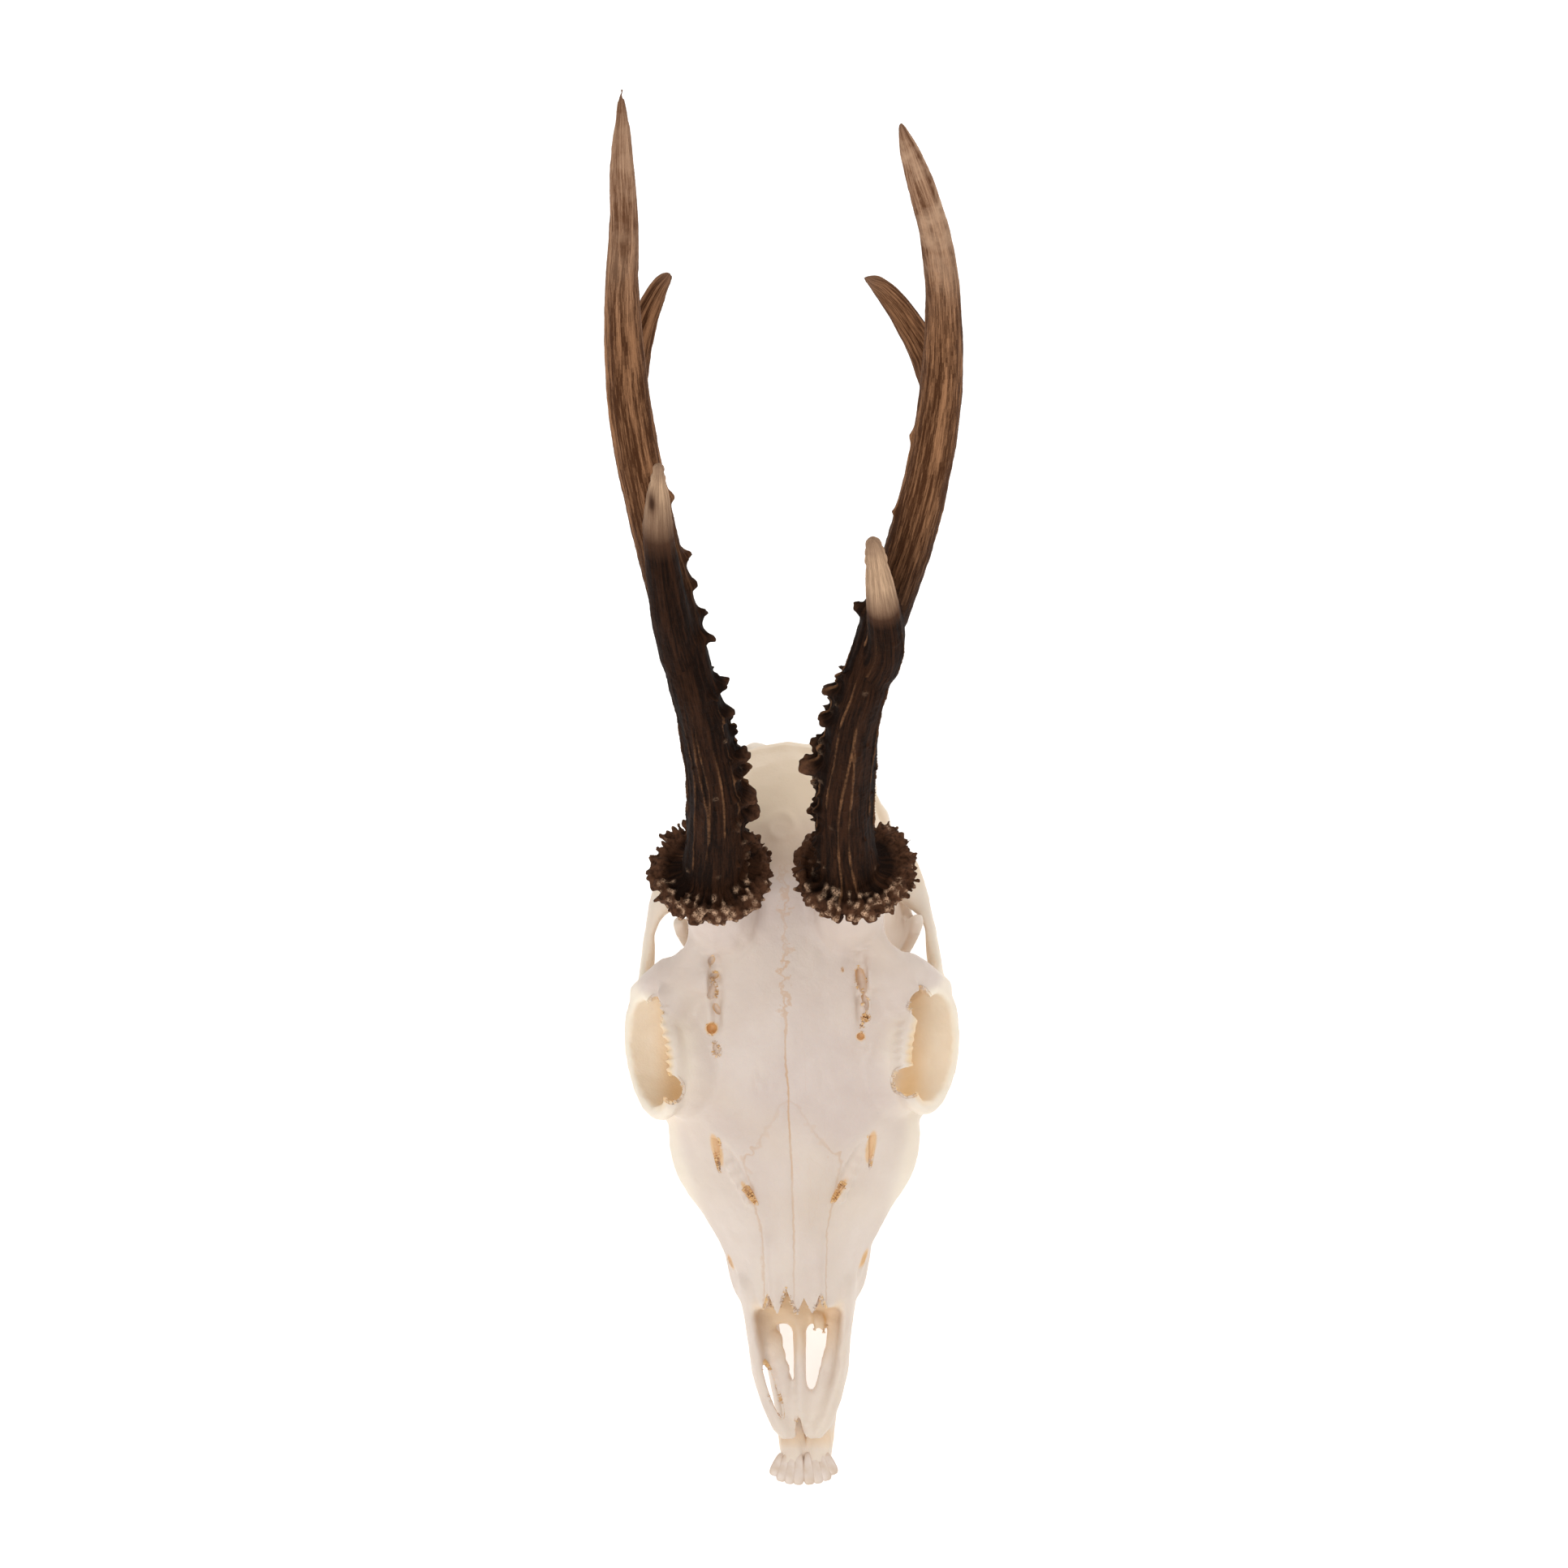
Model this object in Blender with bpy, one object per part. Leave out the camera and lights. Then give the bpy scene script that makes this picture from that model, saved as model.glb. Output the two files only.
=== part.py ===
"""A roe deer skull with six-point antlers and its lower jaw, life size, lying on a level surface.

The bones are laid out in the skull's own frame, in millimetres: x to the animal's left, s back from
the front tip of the upper jaw, h up from the plane in which the teeth meet.  At the end the skull is
tipped nose down until the lower jaw lies on the floor, and turned into metres: nose towards -Y, +Z up,
with the origin on the floor under the middle of the whole.
"""

import math

import bmesh
import bpy
import numpy as np
from mathutils import Matrix, Vector

MM = 0.001
GAP = 0.3  # left between neighbouring pieces
SUTURE = 0.4  # width of the cut between two bones of the cranium
SLIVER = 0.01  # points nearer than this become one
PINCH_ROUNDS = 2
SHARP_EDGE = math.radians(40)
SMALLEST_ROD = 0.35  # half thickness at the very point of a rod

# Fineness
CRANIUM_VOXEL = 1.0
MANDIBLE_VOXEL = 0.95
ANTLER_VOXEL = 0.85
CRANIUM_FACES = 9000  # before the bones are parted
BONE_FACES_KEPT = 0.40  # share left on each bone afterwards
MANDIBLE_FACES = 500
BEAM_FACES = 1000
TINE_FACES = 100

# Colour and roughness
BONE_FINISH = ((0.80, 0.70, 0.60), 0.6)
ANTLER_FINISH = ((0.12, 0.06, 0.03), 0.55)

# How the skull rests
NOSE_DOWN = math.radians(9.0)
HEEL = (142.0, -30.0)  # (s, h) of the lowest point of the jaw's angle, on the floor
ORIGIN_BACK = 122.3  # how far behind the front of the upper jaw the origin is, along the floor

# The cranium
MUZZLE_AND_FOREHEAD = (  # s, top, low, half width at the top, half width at the cheek
    (37, 32.4, 9.5, 8.0, 16.4),
    (48, 36.2, 8.5, 9.0, 19.6),
    (57, 39.0, 9.0, 10.0, 23.8),
    (62, 40.6, 9.5, 10.6, 27.0),
    (68, 42.6, 10.0, 11.8, 31.4),
    (75, 44.8, 11.0, 14.0, 35.4),
    (84, 48.2, 12.0, 18.5, 37.0),
    (92, 51.3, 14.0, 24.0, 35.5),
    (100, 53.8, 17.0, 29.0, 31.0),
    (110, 57.0, 21.0, 31.5, 28.0),
    (122, 60.8, 26.0, 31.5, 25.0),
    (134, 64.7, 28.0, 27.0, 23.0),
    (148, 68.8, 30.0, 23.5, 22.0),
    (160, 70.4, 34.0, 20.0, 20.0),
)
CHEEK_LEVEL = -0.5  # where the muzzle is widest, from -1 at its underside to 1 at its top
BRAINCASE_CENTRE = (0, 158, 42)
BRAINCASE_RADII = (27.5, 32, 29)
ORBIT_CENTRE = (37.4, 107.0, 41.8)
ORBIT_FACES_UP = math.radians(24.5)
ORBIT_FACES_FORWARD = math.radians(8.0)
ORBIT_RADII = (15.6, 16.4)  # of the rim, up and down, and front to back
ORBIT_DEPTH = 19.0
RIM_THICK = 2.4
BOWL_WALL = 2.6  # the bone round the socket, beyond its rim
BOWL_SINK = 9.0
BOWL_DEPTH = 15.0
SOCKET_WALL = 1.6  # how far inside the rim's middle line the socket's own wall stands
SOCKET_SINK = 1.5
ARCH = (  # x, s, h, half thickness, half height of the cheek bone and its arch
    (27.0, 80, 18.0, 3.2, 6.0),
    (31.4, 89, 20.0, 3.2, 6.4),
    (37.8, 97, 22.0, 3.0, 6.0),
    (42.0, 107, 23.0, 2.8, 6.0),
    (42.4, 118, 24.5, 2.4, 5.2),
    (40.2, 129, 27.0, 2.1, 4.2),
    (38.6, 140, 29.5, 2.1, 3.6),
    (35.0, 149, 31.5, 4.0, 3.4),
    (29.0, 157, 33.0, 7.0, 4.2),
    (20.0, 162, 33.0, 6.0, 6.0),
)
PREMAXILLA_ARM = (  # x, s, h, half thickness, half height
    (15.4, 46, 19.0, 1.8, 9.5),
    (13.6, 36, 16.0, 1.8, 8.0),
    (12.4, 28, 13.2, 1.9, 6.0),
    (11.5, 20, 10.8, 2.1, 4.4),
    (9.3, 12.5, 8.8, 2.4, 3.2),
    (6.3, 5, 7.6, 2.5, 2.4),
    (3.4, 1.0, 7.2, 2.2, 1.8),
)
PALATE_ROD = (  # the inner edge of the opening through the front of the palate
    (9.4, 34, 12.0, 1.3, 1.7),
    (8.0, 26, 10.2, 1.3, 1.5),
    (5.0, 15, 8.6, 1.3, 1.4),
    (2.6, 7, 7.6, 1.5, 1.5),
)
SEPTUM = ((0, 50, 15.0, 2.2, 4.0), (0, 30, 11.0, 2.1, 2.4), (0, 16, 9.0, 2.0, 1.8), (0, 4, 7.6, 1.8, 1.5))
NASAL_TIPS = (  # x of the root, then x and s of the point
    (5.6, 6.3, 34.6),
    (2.4, 1.6, 35.4),
)
ALVEOLAR_EDGE = (
    (14.6, 40, 11, 3.4, 4.6),
    (16.6, 54, 9, 4.2, 5.6),
    (18.6, 72, 9, 5.2, 6.4),
    (20.6, 92, 10, 5.6, 7.2),
    (20.6, 110, 12, 4.6, 6.6),
    (18.0, 120, 15, 3.0, 5.0),
)
POSTORBITAL_BAR = (  # the wing of the forehead behind the socket, and down to the arch
    (20, 129, 60, 8, 4.5),
    (28, 128, 57, 6.4, 4.0),
    (35, 126.5, 50.5, 4.6, 3.6),
    (39.6, 125.5, 40, 2.4, 4.0),
    (41, 125, 30, 2.2, 4.4),
)
ANTLER_PILLAR = ((15.0, 140, 56, 11, 11), (17.2, 144, 70, 9.6, 9.6), (18.4, 150, 90, 9.0, 9.0))
PILLAR_RIDGE = ((31, 125, 56, 4, 3), (25, 134, 61, 4, 4), (20, 142, 66, 5, 5))
BRAIN_FLOOR = ((0, 96, 24, 12, 10), (0, 118, 26, 12, 12), (0, 150, 30, 16, 14))
SKULL_BASE = ((0, 110, 17, 6, 4), (0, 150, 13, 6, 4), (0, 190, 12, 9, 4))
OCCIPUT = ((0, 187, 30), (15, 6, 17))  # centre and radii
PALATE_FRONT = ((0, 37, 11.0), (22, 9, 4.0))  # centre and sides
EAR_CAPSULE = ((16.5, 167, 9), (6.5, 10, 8))
EAR_OPENING = ((23.4, 169, 27), (5.5, 8, 8))
NECK_JOINT = ((8.6, 191, 14), (5.4, 6.5, 7.5))
PARACONDYLAR_SPUR = ((19, 178, 24, 6, 6), (21.5, 183, 10, 3.6, 3.4), (20.5, 184, -3, 1.6, 1.8))
NECK_CREST = (
    (0, 187.5, 49, 3, 3),
    (12, 186, 46.5, 2.6, 2.6),
    (21, 180, 39, 2.4, 2.4),
    (25.4, 172, 31, 2.2, 2.4),
)
PTERYGOID = ((10.5, 106, 13, 1.6, 5), (9, 120, 8.5, 1.5, 6.5), (8.4, 134, 7, 1.4, 6), (10, 142, 14, 1.4, 4))

# The cranium's openings
NOSE = ((26, 27.4, 13.5, 9.6, 9.0), (36, 28.6, 13.5, 6.6, 9.6), (46, 31.5, 14, 6.8, 9.8), (56, 33, 16, 5, 7))
PALATE_VAULT = (
    (20, 7.0, -12, 9, 9),
    (40, 7.4, -12, 9, 10),
    (60, 7.2, -12, 10, 12),
    (90, 7.0, -12, 12.5, 14),
    (116, 6.4, -12, 13, 14),
)
NECK_HOLE = ((0, 198, 20), (7.2, 13, 6.4))
BEHIND_SOCKET = ((30.0, 125, 42), (6.5, 11, 11))
TEAR_SLIT = ((15.6, 75, 41.5), (1.5, 10.5, 6))
TEAR_SLIT_TURN = (math.radians(-29), math.radians(20))  # about the upright, then about its own width
CHEEK_NERVE_HOLE = ((18.6, 46, 19), (2.4, 4.5, 2.6))
CHEEK_NERVE_TURN = math.radians(-22)
BROW_GROOVE = ((19.6, 121, 60.5), (2.0, 13, 4.4))
BROW_GROOVE_TILT = math.radians(18)
TEMPORAL_WINDOW = (  # the way down past the arch for the muscle of the jaw, from under the skull to its top
    (32.5, 138.0, -30, 6.0, 8.8),
    (32.0, 138.0, 20, 6.0, 8.8),
    (31.5, 138.0, 44, 6.2, 9.0),
    (34.0, 139.0, 58, 6.8, 9.6),
    (41.0, 140.0, 74, 8.0, 11.0),
)
UPPER_TEETH = (7.6, 8.6, 9.2, 11.2, 12.0, 12.0)  # lengths along the row
UPPER_ROW_START = 54.0
UPPER_ROW_X = (16.6, 21.0)
UPPER_TOOTH_HALF = (3.6, 5.4)
UPPER_TOOTH_TOP = 9.0
TOOTH_SPACE = 0.7
TOOTH_SOFTNESS = 1.3
LOWER_TEETH = (6.8, 8.0, 8.8, 11.0, 11.8, 13.6)
LOWER_ROW_START = 52.0
LOWER_ROW_X = (14.0, 18.2)
LOWER_TOOTH_HALF = (2.6, 3.6)
LOWER_TOOTH_FOOT = -8.0

# The lower jaw
JAW_BODY = (  # x, s, h, half thickness, half height
    (3.6, -6.5, 1.6, 3.6, 2.0),
    (3.8, 2, -2.0, 4.2, 4.4),
    (5.8, 11, -4.8, 3.6, 5.2),
    (8.6, 22, -6.4, 2.9, 5.2),
    (10.8, 34, -7.4, 2.9, 4.9),
    (12.8, 47, -8.4, 3.2, 5.0),
    (14.6, 62, -9.0, 3.6, 5.6),
    (16.2, 80, -9.8, 3.8, 6.4),
    (17.8, 98, -11.4, 3.8, 7.6),
    (19.4, 112, -13.2, 3.2, 9.0),
)
RAMUS_OUTLINE = (  # (s, h) seen from the side
    (103, -10), (112, -4), (120, 5), (127, 16), (131.5, 28), (135, 39), (138.5, 46), (142, 47.5),
    (143.8, 44), (142.0, 36), (142.4, 30), (147.5, 24.5), (155.5, 24), (157, 19), (155, 8), (156.2, -4),
    (157.8, -13), (157, -20), (153.5, -26), (148, -30), (141, -31.5), (131, -29.5), (120, -25), (106, -20.5),
)
RAMUS_THICK = 3.4
RAMUS_FOOT = (19.6, 112, -20)  # x at this s and h; from there it leans out
RAMUS_LEAN = (0.15, 0.10, 0.12)  # backwards, upwards, and more again above the level of the joint
RAMUS_BEND_H = 30
JAW_JOINT = ((29.8, 152.5, 23.6), (5.8, 3.4, 2.6))
JAW_ANGLE_RIM = ((20, 110, -13, 2.6, 8), (21.5, 124, -17, 2.8, 9), (23.6, 142, -22, 2.6, 8))
JAW_SHIFT = 1.0  # the loose jaw sits a little to the left of the skull above it, and is turned
JAW_TURN = math.radians(-0.7)
INCISORS = ((1.9, 2.2, 2.3), (3.9, 5.4, 1.4), (5.2, 7.3, 1.2), (6.2, 8.5, 1.0))  # root x, tip x, half width

# The antlers: x, s, h and radius, from the burr to the tip.  The two differ, as on the real animal
BURR_H = 86.0
BURR_LEAN = math.radians(31.0)
BEAMS = {
    "left": (
        (17.6, 148, 84.0, 9.0), (17.0, 154, 96.0, 8.2), (16.6, 161, 108.0, 7.6), (17.5, 171, 125.0, 7.1),
        (20.2, 184, 147.0, 6.4), (23.5, 192, 159.0, 6.0), (28.0, 204.5, 170.0, 5.7),
        (34.6, 221, 181.5, 5.8), (40.0, 239, 194.7, 5.4), (42.5, 254, 206.0, 5.1),
        (42.9, 269.5, 227.0, 4.1), (40.8, 280.5, 243.4, 3.6), (36.4, 291, 259.0, 2.7),
        (33.3, 298, 269.0, 0.7),
    ),
    "right": (
        (-19.2, 148, 84.0, 9.0), (-17.6, 154, 96.0, 8.2), (-16.6, 161, 108.0, 7.6),
        (-16.0, 171.5, 126.0, 6.8), (-17.8, 185, 148.0, 6.0), (-19.8, 193, 160.0, 6.0),
        (-22.3, 205.6, 171.3, 5.6), (-27.0, 226.7, 186.6, 5.5), (-30.1, 244, 199.0, 5.4),
        (-31.0, 256, 208.5, 5.1), (-30.4, 271.3, 228.8, 4.1), (-28.6, 282.2, 244.3, 3.4),
        (-27.9, 292.7, 259.4, 2.8), (-26.5, 305, 277.0, 0.7),
    ),
}
FRONT_TINES = {
    "left": (
        (21.5, 189, 154.0, 5.2), (26.4, 194.5, 163.5, 5.4), (28.3, 199, 172.0, 4.8),
        (27.4, 206.5, 184.0, 4.0), (26.4, 213, 194.5, 2.8), (25.7, 217, 201.0, 0.8),
    ),
    "right": (
        (-19.3, 190, 154.0, 5.2), (-22.2, 199, 168.0, 5.3), (-23.8, 209, 182.0, 4.7),
        (-24.8, 221, 195.5, 3.9), (-24.4, 229, 204.5, 2.9), (-23.7, 234.5, 210.5, 0.8),
    ),
}
REAR_TINES = {
    "left": (
        (42.0, 252, 203.5, 4.4), (38.6, 262, 204.0, 3.9), (33.4, 271, 205.5, 3.2),
        (28.8, 276.4, 208.0, 2.4), (24.8, 278.4, 210.5, 1.1),
    ),
    "right": (
        (-30.8, 253, 205.0, 4.5), (-28.8, 264, 205.5, 3.9), (-26.0, 272, 206.5, 3.1),
        (-23.0, 277.6, 208.5, 2.4), (-20.2, 280.6, 210.5, 1.2),
    ),
}
FRONT_FORK = 5  # station of the beam at which each fork stands
REAR_FORK = 9
BURR_FOOT = (18.4, 149.5)  # x and s
BURR_SPLAY = 0.03
BURR_KNOBS = 17
BURR_RADIUS = 14.2
BURR_THICK = 4.2
KNOB_HALF = (2.0, 2.8)  # across and along the antler
KNOB_LENGTH = (3.1, 0.9, 0.8)  # the mean, the swing from knob to knob, and more at the front and back
PEARLS = {  # s of the beam beside each, angle round the beam from its inner side, size
    "left": (
        (156, -25, 2.6), (159, 20, 2.4), (163, -10, 2.8), (167, 30, 2.4), (170, -20, 2.8), (173.5, 0, 5.8),
        (177, -10, 4.0), (184, 15, 3.6), (189, -5, 4.4), (194, 25, 2.8), (207, 0, 3.6), (228, 10, 2.0),
        (242, -5, 1.8),
    ),
    "right": (
        (156, 20, 2.8), (160, -10, 3.6), (164, 0, 5.2), (169, -10, 5.0), (173, 10, 3.4), (177, -5, 4.4),
        (181, 15, 2.6), (186, -10, 3.6), (191, 5, 3.8), (201, -10, 3.2), (206, 15, 3.2), (212, -5, 2.8),
        (218, 10, 2.8), (232, 0, 2.4),
    ),
}


# ---------------------------------------------------------------- shapes

def clear_scene():
    for obj in list(bpy.data.objects):
        bpy.data.objects.remove(obj, do_unlink=True)


def through(stations, steps):
    """A smooth run of rows through the stations, with `steps` rows in each stretch."""
    rows = np.array(stations, float)
    ends = np.vstack([2 * rows[0] - rows[1], rows, 2 * rows[-1] - rows[-2]])
    out = []
    for a, b, c, d in zip(ends, ends[1:], ends[2:], ends[3:]):
        for t in np.arange(steps) / steps:
            bend = 2 * b + (c - a) * t + (2 * a - 5 * b + 4 * c - d) * t**2
            out.append((bend + (3 * b - a - 3 * c + d) * t**3) / 2)
    return np.array(out + [rows[-1]])


def new_object(name, mesh_maker):
    """An object whose mesh is filled by mesh_maker(bm), in millimetres."""
    bm = bmesh.new()
    mesh_maker(bm)
    bmesh.ops.recalc_face_normals(bm, faces=bm.faces)
    mesh = bpy.data.meshes.new(name)
    bm.to_mesh(mesh)
    bm.free()
    obj = bpy.data.objects.new(name, mesh)
    bpy.context.collection.objects.link(obj)
    return obj


def skin_rings(bm, rings):
    """Joins rings of points with sides and closes both ends."""
    loops = [[bm.verts.new(point) for point in ring] for ring in rings]
    for one, two in zip(loops, loops[1:]):
        for i, (a, b) in enumerate(zip(one, two)):
            j = (i + 1) % len(one)
            bm.faces.new((a, one[j], two[j], b))
    bm.faces.new(reversed(loops[0]))
    bm.faces.new(loops[-1])


def tube(stations, sides=14, steps=5):
    """A rod along stations of x, s, h, half thickness and (where it isn't round) half height."""
    rows = through([row if len(row) == 5 else (*row, row[3]) for row in stations], steps)
    rings = []
    for i, row in enumerate(rows):
        along = Vector(rows[min(i + 1, len(rows) - 1)][:3] - rows[max(i - 1, 0)][:3]).normalized()
        across = along.cross(Vector((0, 0, 1)))
        across = across.normalized() if across.length > 0.05 else Vector((1, 0, 0))
        up = across.cross(along)
        wide, high = np.maximum(row[3:5], SMALLEST_ROD)
        turns = [2 * math.pi * k / sides for k in range(sides)]
        rings.append([Vector(row[:3]) + across * wide * math.cos(a) + up * high * math.sin(a) for a in turns])
    return new_object("rod", lambda bm: skin_rings(bm, rings))


def trapezoid_loft(stations, sides=36, steps=4, square=2.9):
    """A body whose cross-sections are rounded trapezoids: s, top, low, half width at top and at the cheek."""
    rings = []
    for s, top, low, half_top, half_cheek in through(stations, steps):
        ring = []
        for k in range(sides):
            a = 2 * math.pi * k / sides
            u = math.copysign(abs(math.cos(a)) ** (2 / square), math.cos(a))
            v = math.copysign(abs(math.sin(a)) ** (2 / square), math.sin(a))
            above = max(0.0, (v - CHEEK_LEVEL) / (1 - CHEEK_LEVEL))
            half = half_cheek + above * (half_top - half_cheek)
            ring.append((u * half, s, (top + low) / 2 + v * (top - low) / 2))
        rings.append(ring)
    return new_object("loft", lambda bm: skin_rings(bm, rings))


def ball(centre, radii, turn=None, fineness=4):
    shape = Matrix.Translation(centre) @ (turn or Matrix()) @ Matrix.Diagonal((*radii, 1))
    return new_object(
        "ball",
        lambda bm: bmesh.ops.create_icosphere(bm, subdivisions=fineness, radius=1, matrix=shape),
    )


def block(centre, sides, soften=1.0):
    """A box with rounded edges."""
    def fill(bm):
        bmesh.ops.create_cube(bm, size=1, matrix=Matrix.Translation(centre) @ Matrix.Diagonal((*sides, 1)))
        bmesh.ops.bevel(bm, geom=bm.edges, offset=soften, segments=2, affect="EDGES", profile=0.5)
    return new_object("block", fill)


def ring(centre, turn, radii, thick, around=40, sides=10):
    """A closed round rod, the rim of an opening.  Its radii lie along the turned Y and Z."""
    loops = []
    for k in range(around):
        a = 2 * math.pi * k / around
        out = Vector((0, math.cos(a) * radii[0], math.sin(a) * radii[1]))
        loop = []
        for j in range(sides):
            b = 2 * math.pi * j / sides
            point = out + out.normalized() * thick * math.cos(b) + Vector((thick * math.sin(b), 0, 0))
            loop.append(Matrix.Translation(centre) @ turn @ point)
        loops.append(loop)

    def fill(bm):
        verts = [[bm.verts.new(p) for p in loop] for loop in loops]
        for k, one in enumerate(verts):
            two = verts[(k + 1) % around]
            for j, corner in enumerate(one):
                i = (j + 1) % sides
                bm.faces.new((corner, two[j], two[i], one[i]))
    return new_object("rim", fill)


def offset_outline(outline, grow):
    """The outline with every side moved out by `grow`.  The points run anticlockwise."""
    points = np.array(outline, float)
    ahead = np.roll(points, -1, axis=0) - points
    ahead /= np.linalg.norm(ahead, axis=1)[:, None]
    normal = np.column_stack([ahead[:, 1], -ahead[:, 0]])
    before = np.roll(normal, 1, axis=0)
    miter = normal + before
    scale = 2 / np.maximum((miter**2).sum(axis=1), 0.5)
    return points + miter * scale[:, None] * grow


def prism(outline, axis, low, high, grow=0.0):
    """A slab with this outline, drawn from above (axis "h": x, s) or from the side (axis "x": s, h).

    low and high are numbers, or functions of s for a slanted end.
    """
    area = sum(a[0] * b[1] - b[0] * a[1] for a, b in zip(outline, outline[1:] + outline[:1]))
    points = offset_outline(outline if area > 0 else outline[::-1], grow)

    def place(point, end, sign):
        if axis == "x":
            return (end + sign * grow, *point)
        level = end(point[1]) if callable(end) else end
        return (point[0], point[1], level + sign * grow)

    rings = [[place(p, low, -1) for p in points], [place(p, high, 1) for p in points]]

    def fill(bm):
        skin_rings(bm, rings)
        bmesh.ops.triangulate(bm, faces=bm.faces)
    return new_object("slab", fill)


# ---------------------------------------------------------------- joining and cutting

def settle_modifiers(obj):
    """Makes what the modifiers show into the object's own mesh."""
    bpy.context.view_layer.update()
    graph = bpy.context.evaluated_depsgraph_get()
    mesh = bpy.data.meshes.new_from_object(obj.evaluated_get(graph))
    obj.modifiers.clear()
    obj.data = mesh
    return obj


def copy_of(obj):
    twin = bpy.data.objects.new(obj.name + "_copy", obj.data.copy())
    bpy.context.collection.objects.link(twin)
    return twin


def drop(*objects):
    for obj in objects:
        bpy.data.objects.remove(obj, do_unlink=True)


def joined(objects):
    """One object that holds the meshes of all, which are removed."""
    bm = bmesh.new()
    for obj in objects:
        bm.from_mesh(obj.data)
    mesh = bpy.data.meshes.new("joined")
    bm.to_mesh(mesh)
    bm.free()
    drop(*objects)
    whole = bpy.data.objects.new("joined", mesh)
    bpy.context.collection.objects.link(whole)
    return whole


def grown_together(objects, voxel, smoothing=3):
    """The shapes fused into one skin, with soft hollows where they meet."""
    whole = joined(objects)
    remesh = whole.modifiers.new("fuse", "REMESH")
    remesh.mode = "VOXEL"
    remesh.voxel_size = voxel
    smooth = whole.modifiers.new("soften", "SMOOTH")
    smooth.factor = 0.5
    smooth.iterations = smoothing
    return settle_modifiers(whole)


def is_flap(face):
    """Whether the face hangs loose from an edge at which the skin is already closed."""
    loose = any(e.is_boundary for e in face.edges)
    return loose and any(len(e.link_faces) > 2 for e in face.edges)


def close_holes(bm):
    bmesh.ops.holes_fill(bm, edges=[e for e in bm.edges if e.is_boundary], sides=0)
    bmesh.ops.triangulate(bm, faces=bm.faces)


def mended(obj):
    """Merges the slivers that a cut leaves, and opens out places where the skin meets itself."""
    bm = bmesh.new()
    bm.from_mesh(obj.data)
    bmesh.ops.triangulate(bm, faces=bm.faces)
    bmesh.ops.remove_doubles(bm, verts=bm.verts, dist=SLIVER)
    bmesh.ops.dissolve_degenerate(bm, edges=bm.edges, dist=SLIVER)
    bmesh.ops.delete(bm, geom=[f for f in bm.faces if is_flap(f)], context="FACES")
    close_holes(bm)
    for _ in range(PINCH_ROUNDS):
        pinched = [v for v in bm.verts if any(len(e.link_faces) > 2 for e in v.link_edges)]
        bmesh.ops.delete(bm, geom=pinched, context="VERTS")
        close_holes(bm)
    bm.to_mesh(obj.data)
    bm.free()
    return obj


def combine(obj, other, operation):
    """A Boolean with `other`, which is removed."""
    cut = obj.modifiers.new("cut", "BOOLEAN")
    cut.operation = operation
    cut.solver = "EXACT"
    cut.object = other
    settle_modifiers(obj)
    drop(other)
    return mended(obj)


def thinned(obj, faces):
    """The same form with about this many triangles."""
    obj.data.calc_loop_triangles()
    thin = obj.modifiers.new("thin", "DECIMATE")
    thin.ratio = min(1.0, faces / len(obj.data.loop_triangles))
    return settle_modifiers(obj)


def mirrored(obj):
    """A twin on the other side of the skull's middle plane."""
    twin = copy_of(obj)
    bm = bmesh.new()
    bm.from_mesh(twin.data)
    bmesh.ops.scale(bm, vec=(-1, 1, 1), verts=bm.verts)
    bmesh.ops.reverse_faces(bm, faces=bm.faces)
    bm.to_mesh(twin.data)
    bm.free()
    return twin


def both_sides(objects):
    return objects + [mirrored(obj) for obj in objects]


def cut_flat(obj, point, normal):
    """Takes away all that lies on the normal's side of a plane, and closes the cut."""
    bm = bmesh.new()
    bm.from_mesh(obj.data)
    everything = bm.verts[:] + bm.edges[:] + bm.faces[:]
    found = bmesh.ops.bisect_plane(
        bm, geom=everything, dist=1e-5, plane_co=point, plane_no=normal, clear_outer=True
    )
    edges = [e for e in found["geom_cut"] if isinstance(e, bmesh.types.BMEdge) and e.is_boundary]
    bmesh.ops.triangle_fill(bm, edges=edges, use_beauty=True, normal=normal)
    bmesh.ops.recalc_face_normals(bm, faces=bm.faces)
    bm.to_mesh(obj.data)
    bm.free()
    return obj


def largest_body(obj):
    """Keeps the largest of the object's separate pieces, and drops the crumbs a cut has left."""
    bm = bmesh.new()
    bm.from_mesh(obj.data)
    left = set(bm.faces)
    bodies = []
    while left:
        body, edge = set(), [left.pop()]
        while edge:
            face = edge.pop()
            body.add(face)
            near = {f for e in face.edges for f in e.link_faces} & left
            left -= near
            edge.extend(near)
        bodies.append(body)
    bodies.sort(key=lambda faces: sum(f.calc_area() for f in faces))
    kept = bodies[-1]
    bmesh.ops.delete(bm, geom=[f for f in bm.faces if f not in kept], context="FACES")
    loose = [v for v in bm.verts if not v.link_faces]
    bmesh.ops.delete(bm, geom=loose, context="VERTS")
    bm.to_mesh(obj.data)
    bm.free()
    return obj


# ---------------------------------------------------------------- the cranium

def roof(s):
    """Height of the skull's upper profile at s, from the muzzle to behind the antlers."""
    rows = np.array(MUZZLE_AND_FOREHEAD)
    return float(np.interp(s, rows[:, 0], rows[:, 1]))


def orbit_turn():
    return Matrix.Rotation(-ORBIT_FACES_FORWARD, 4, "Z") @ Matrix.Rotation(-ORBIT_FACES_UP, 4, "Y")


def orbit_bowl(grow, sink, depth):
    """An egg round the eye socket: `grow` beyond its rim, its middle moved in by `sink`."""
    turn = orbit_turn()
    centre = Vector(ORBIT_CENTRE) - (turn @ Vector((1, 0, 0))) * sink
    return ball(centre, (depth, ORBIT_RADII[1] + grow, ORBIT_RADII[0] + grow), turn)


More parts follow.
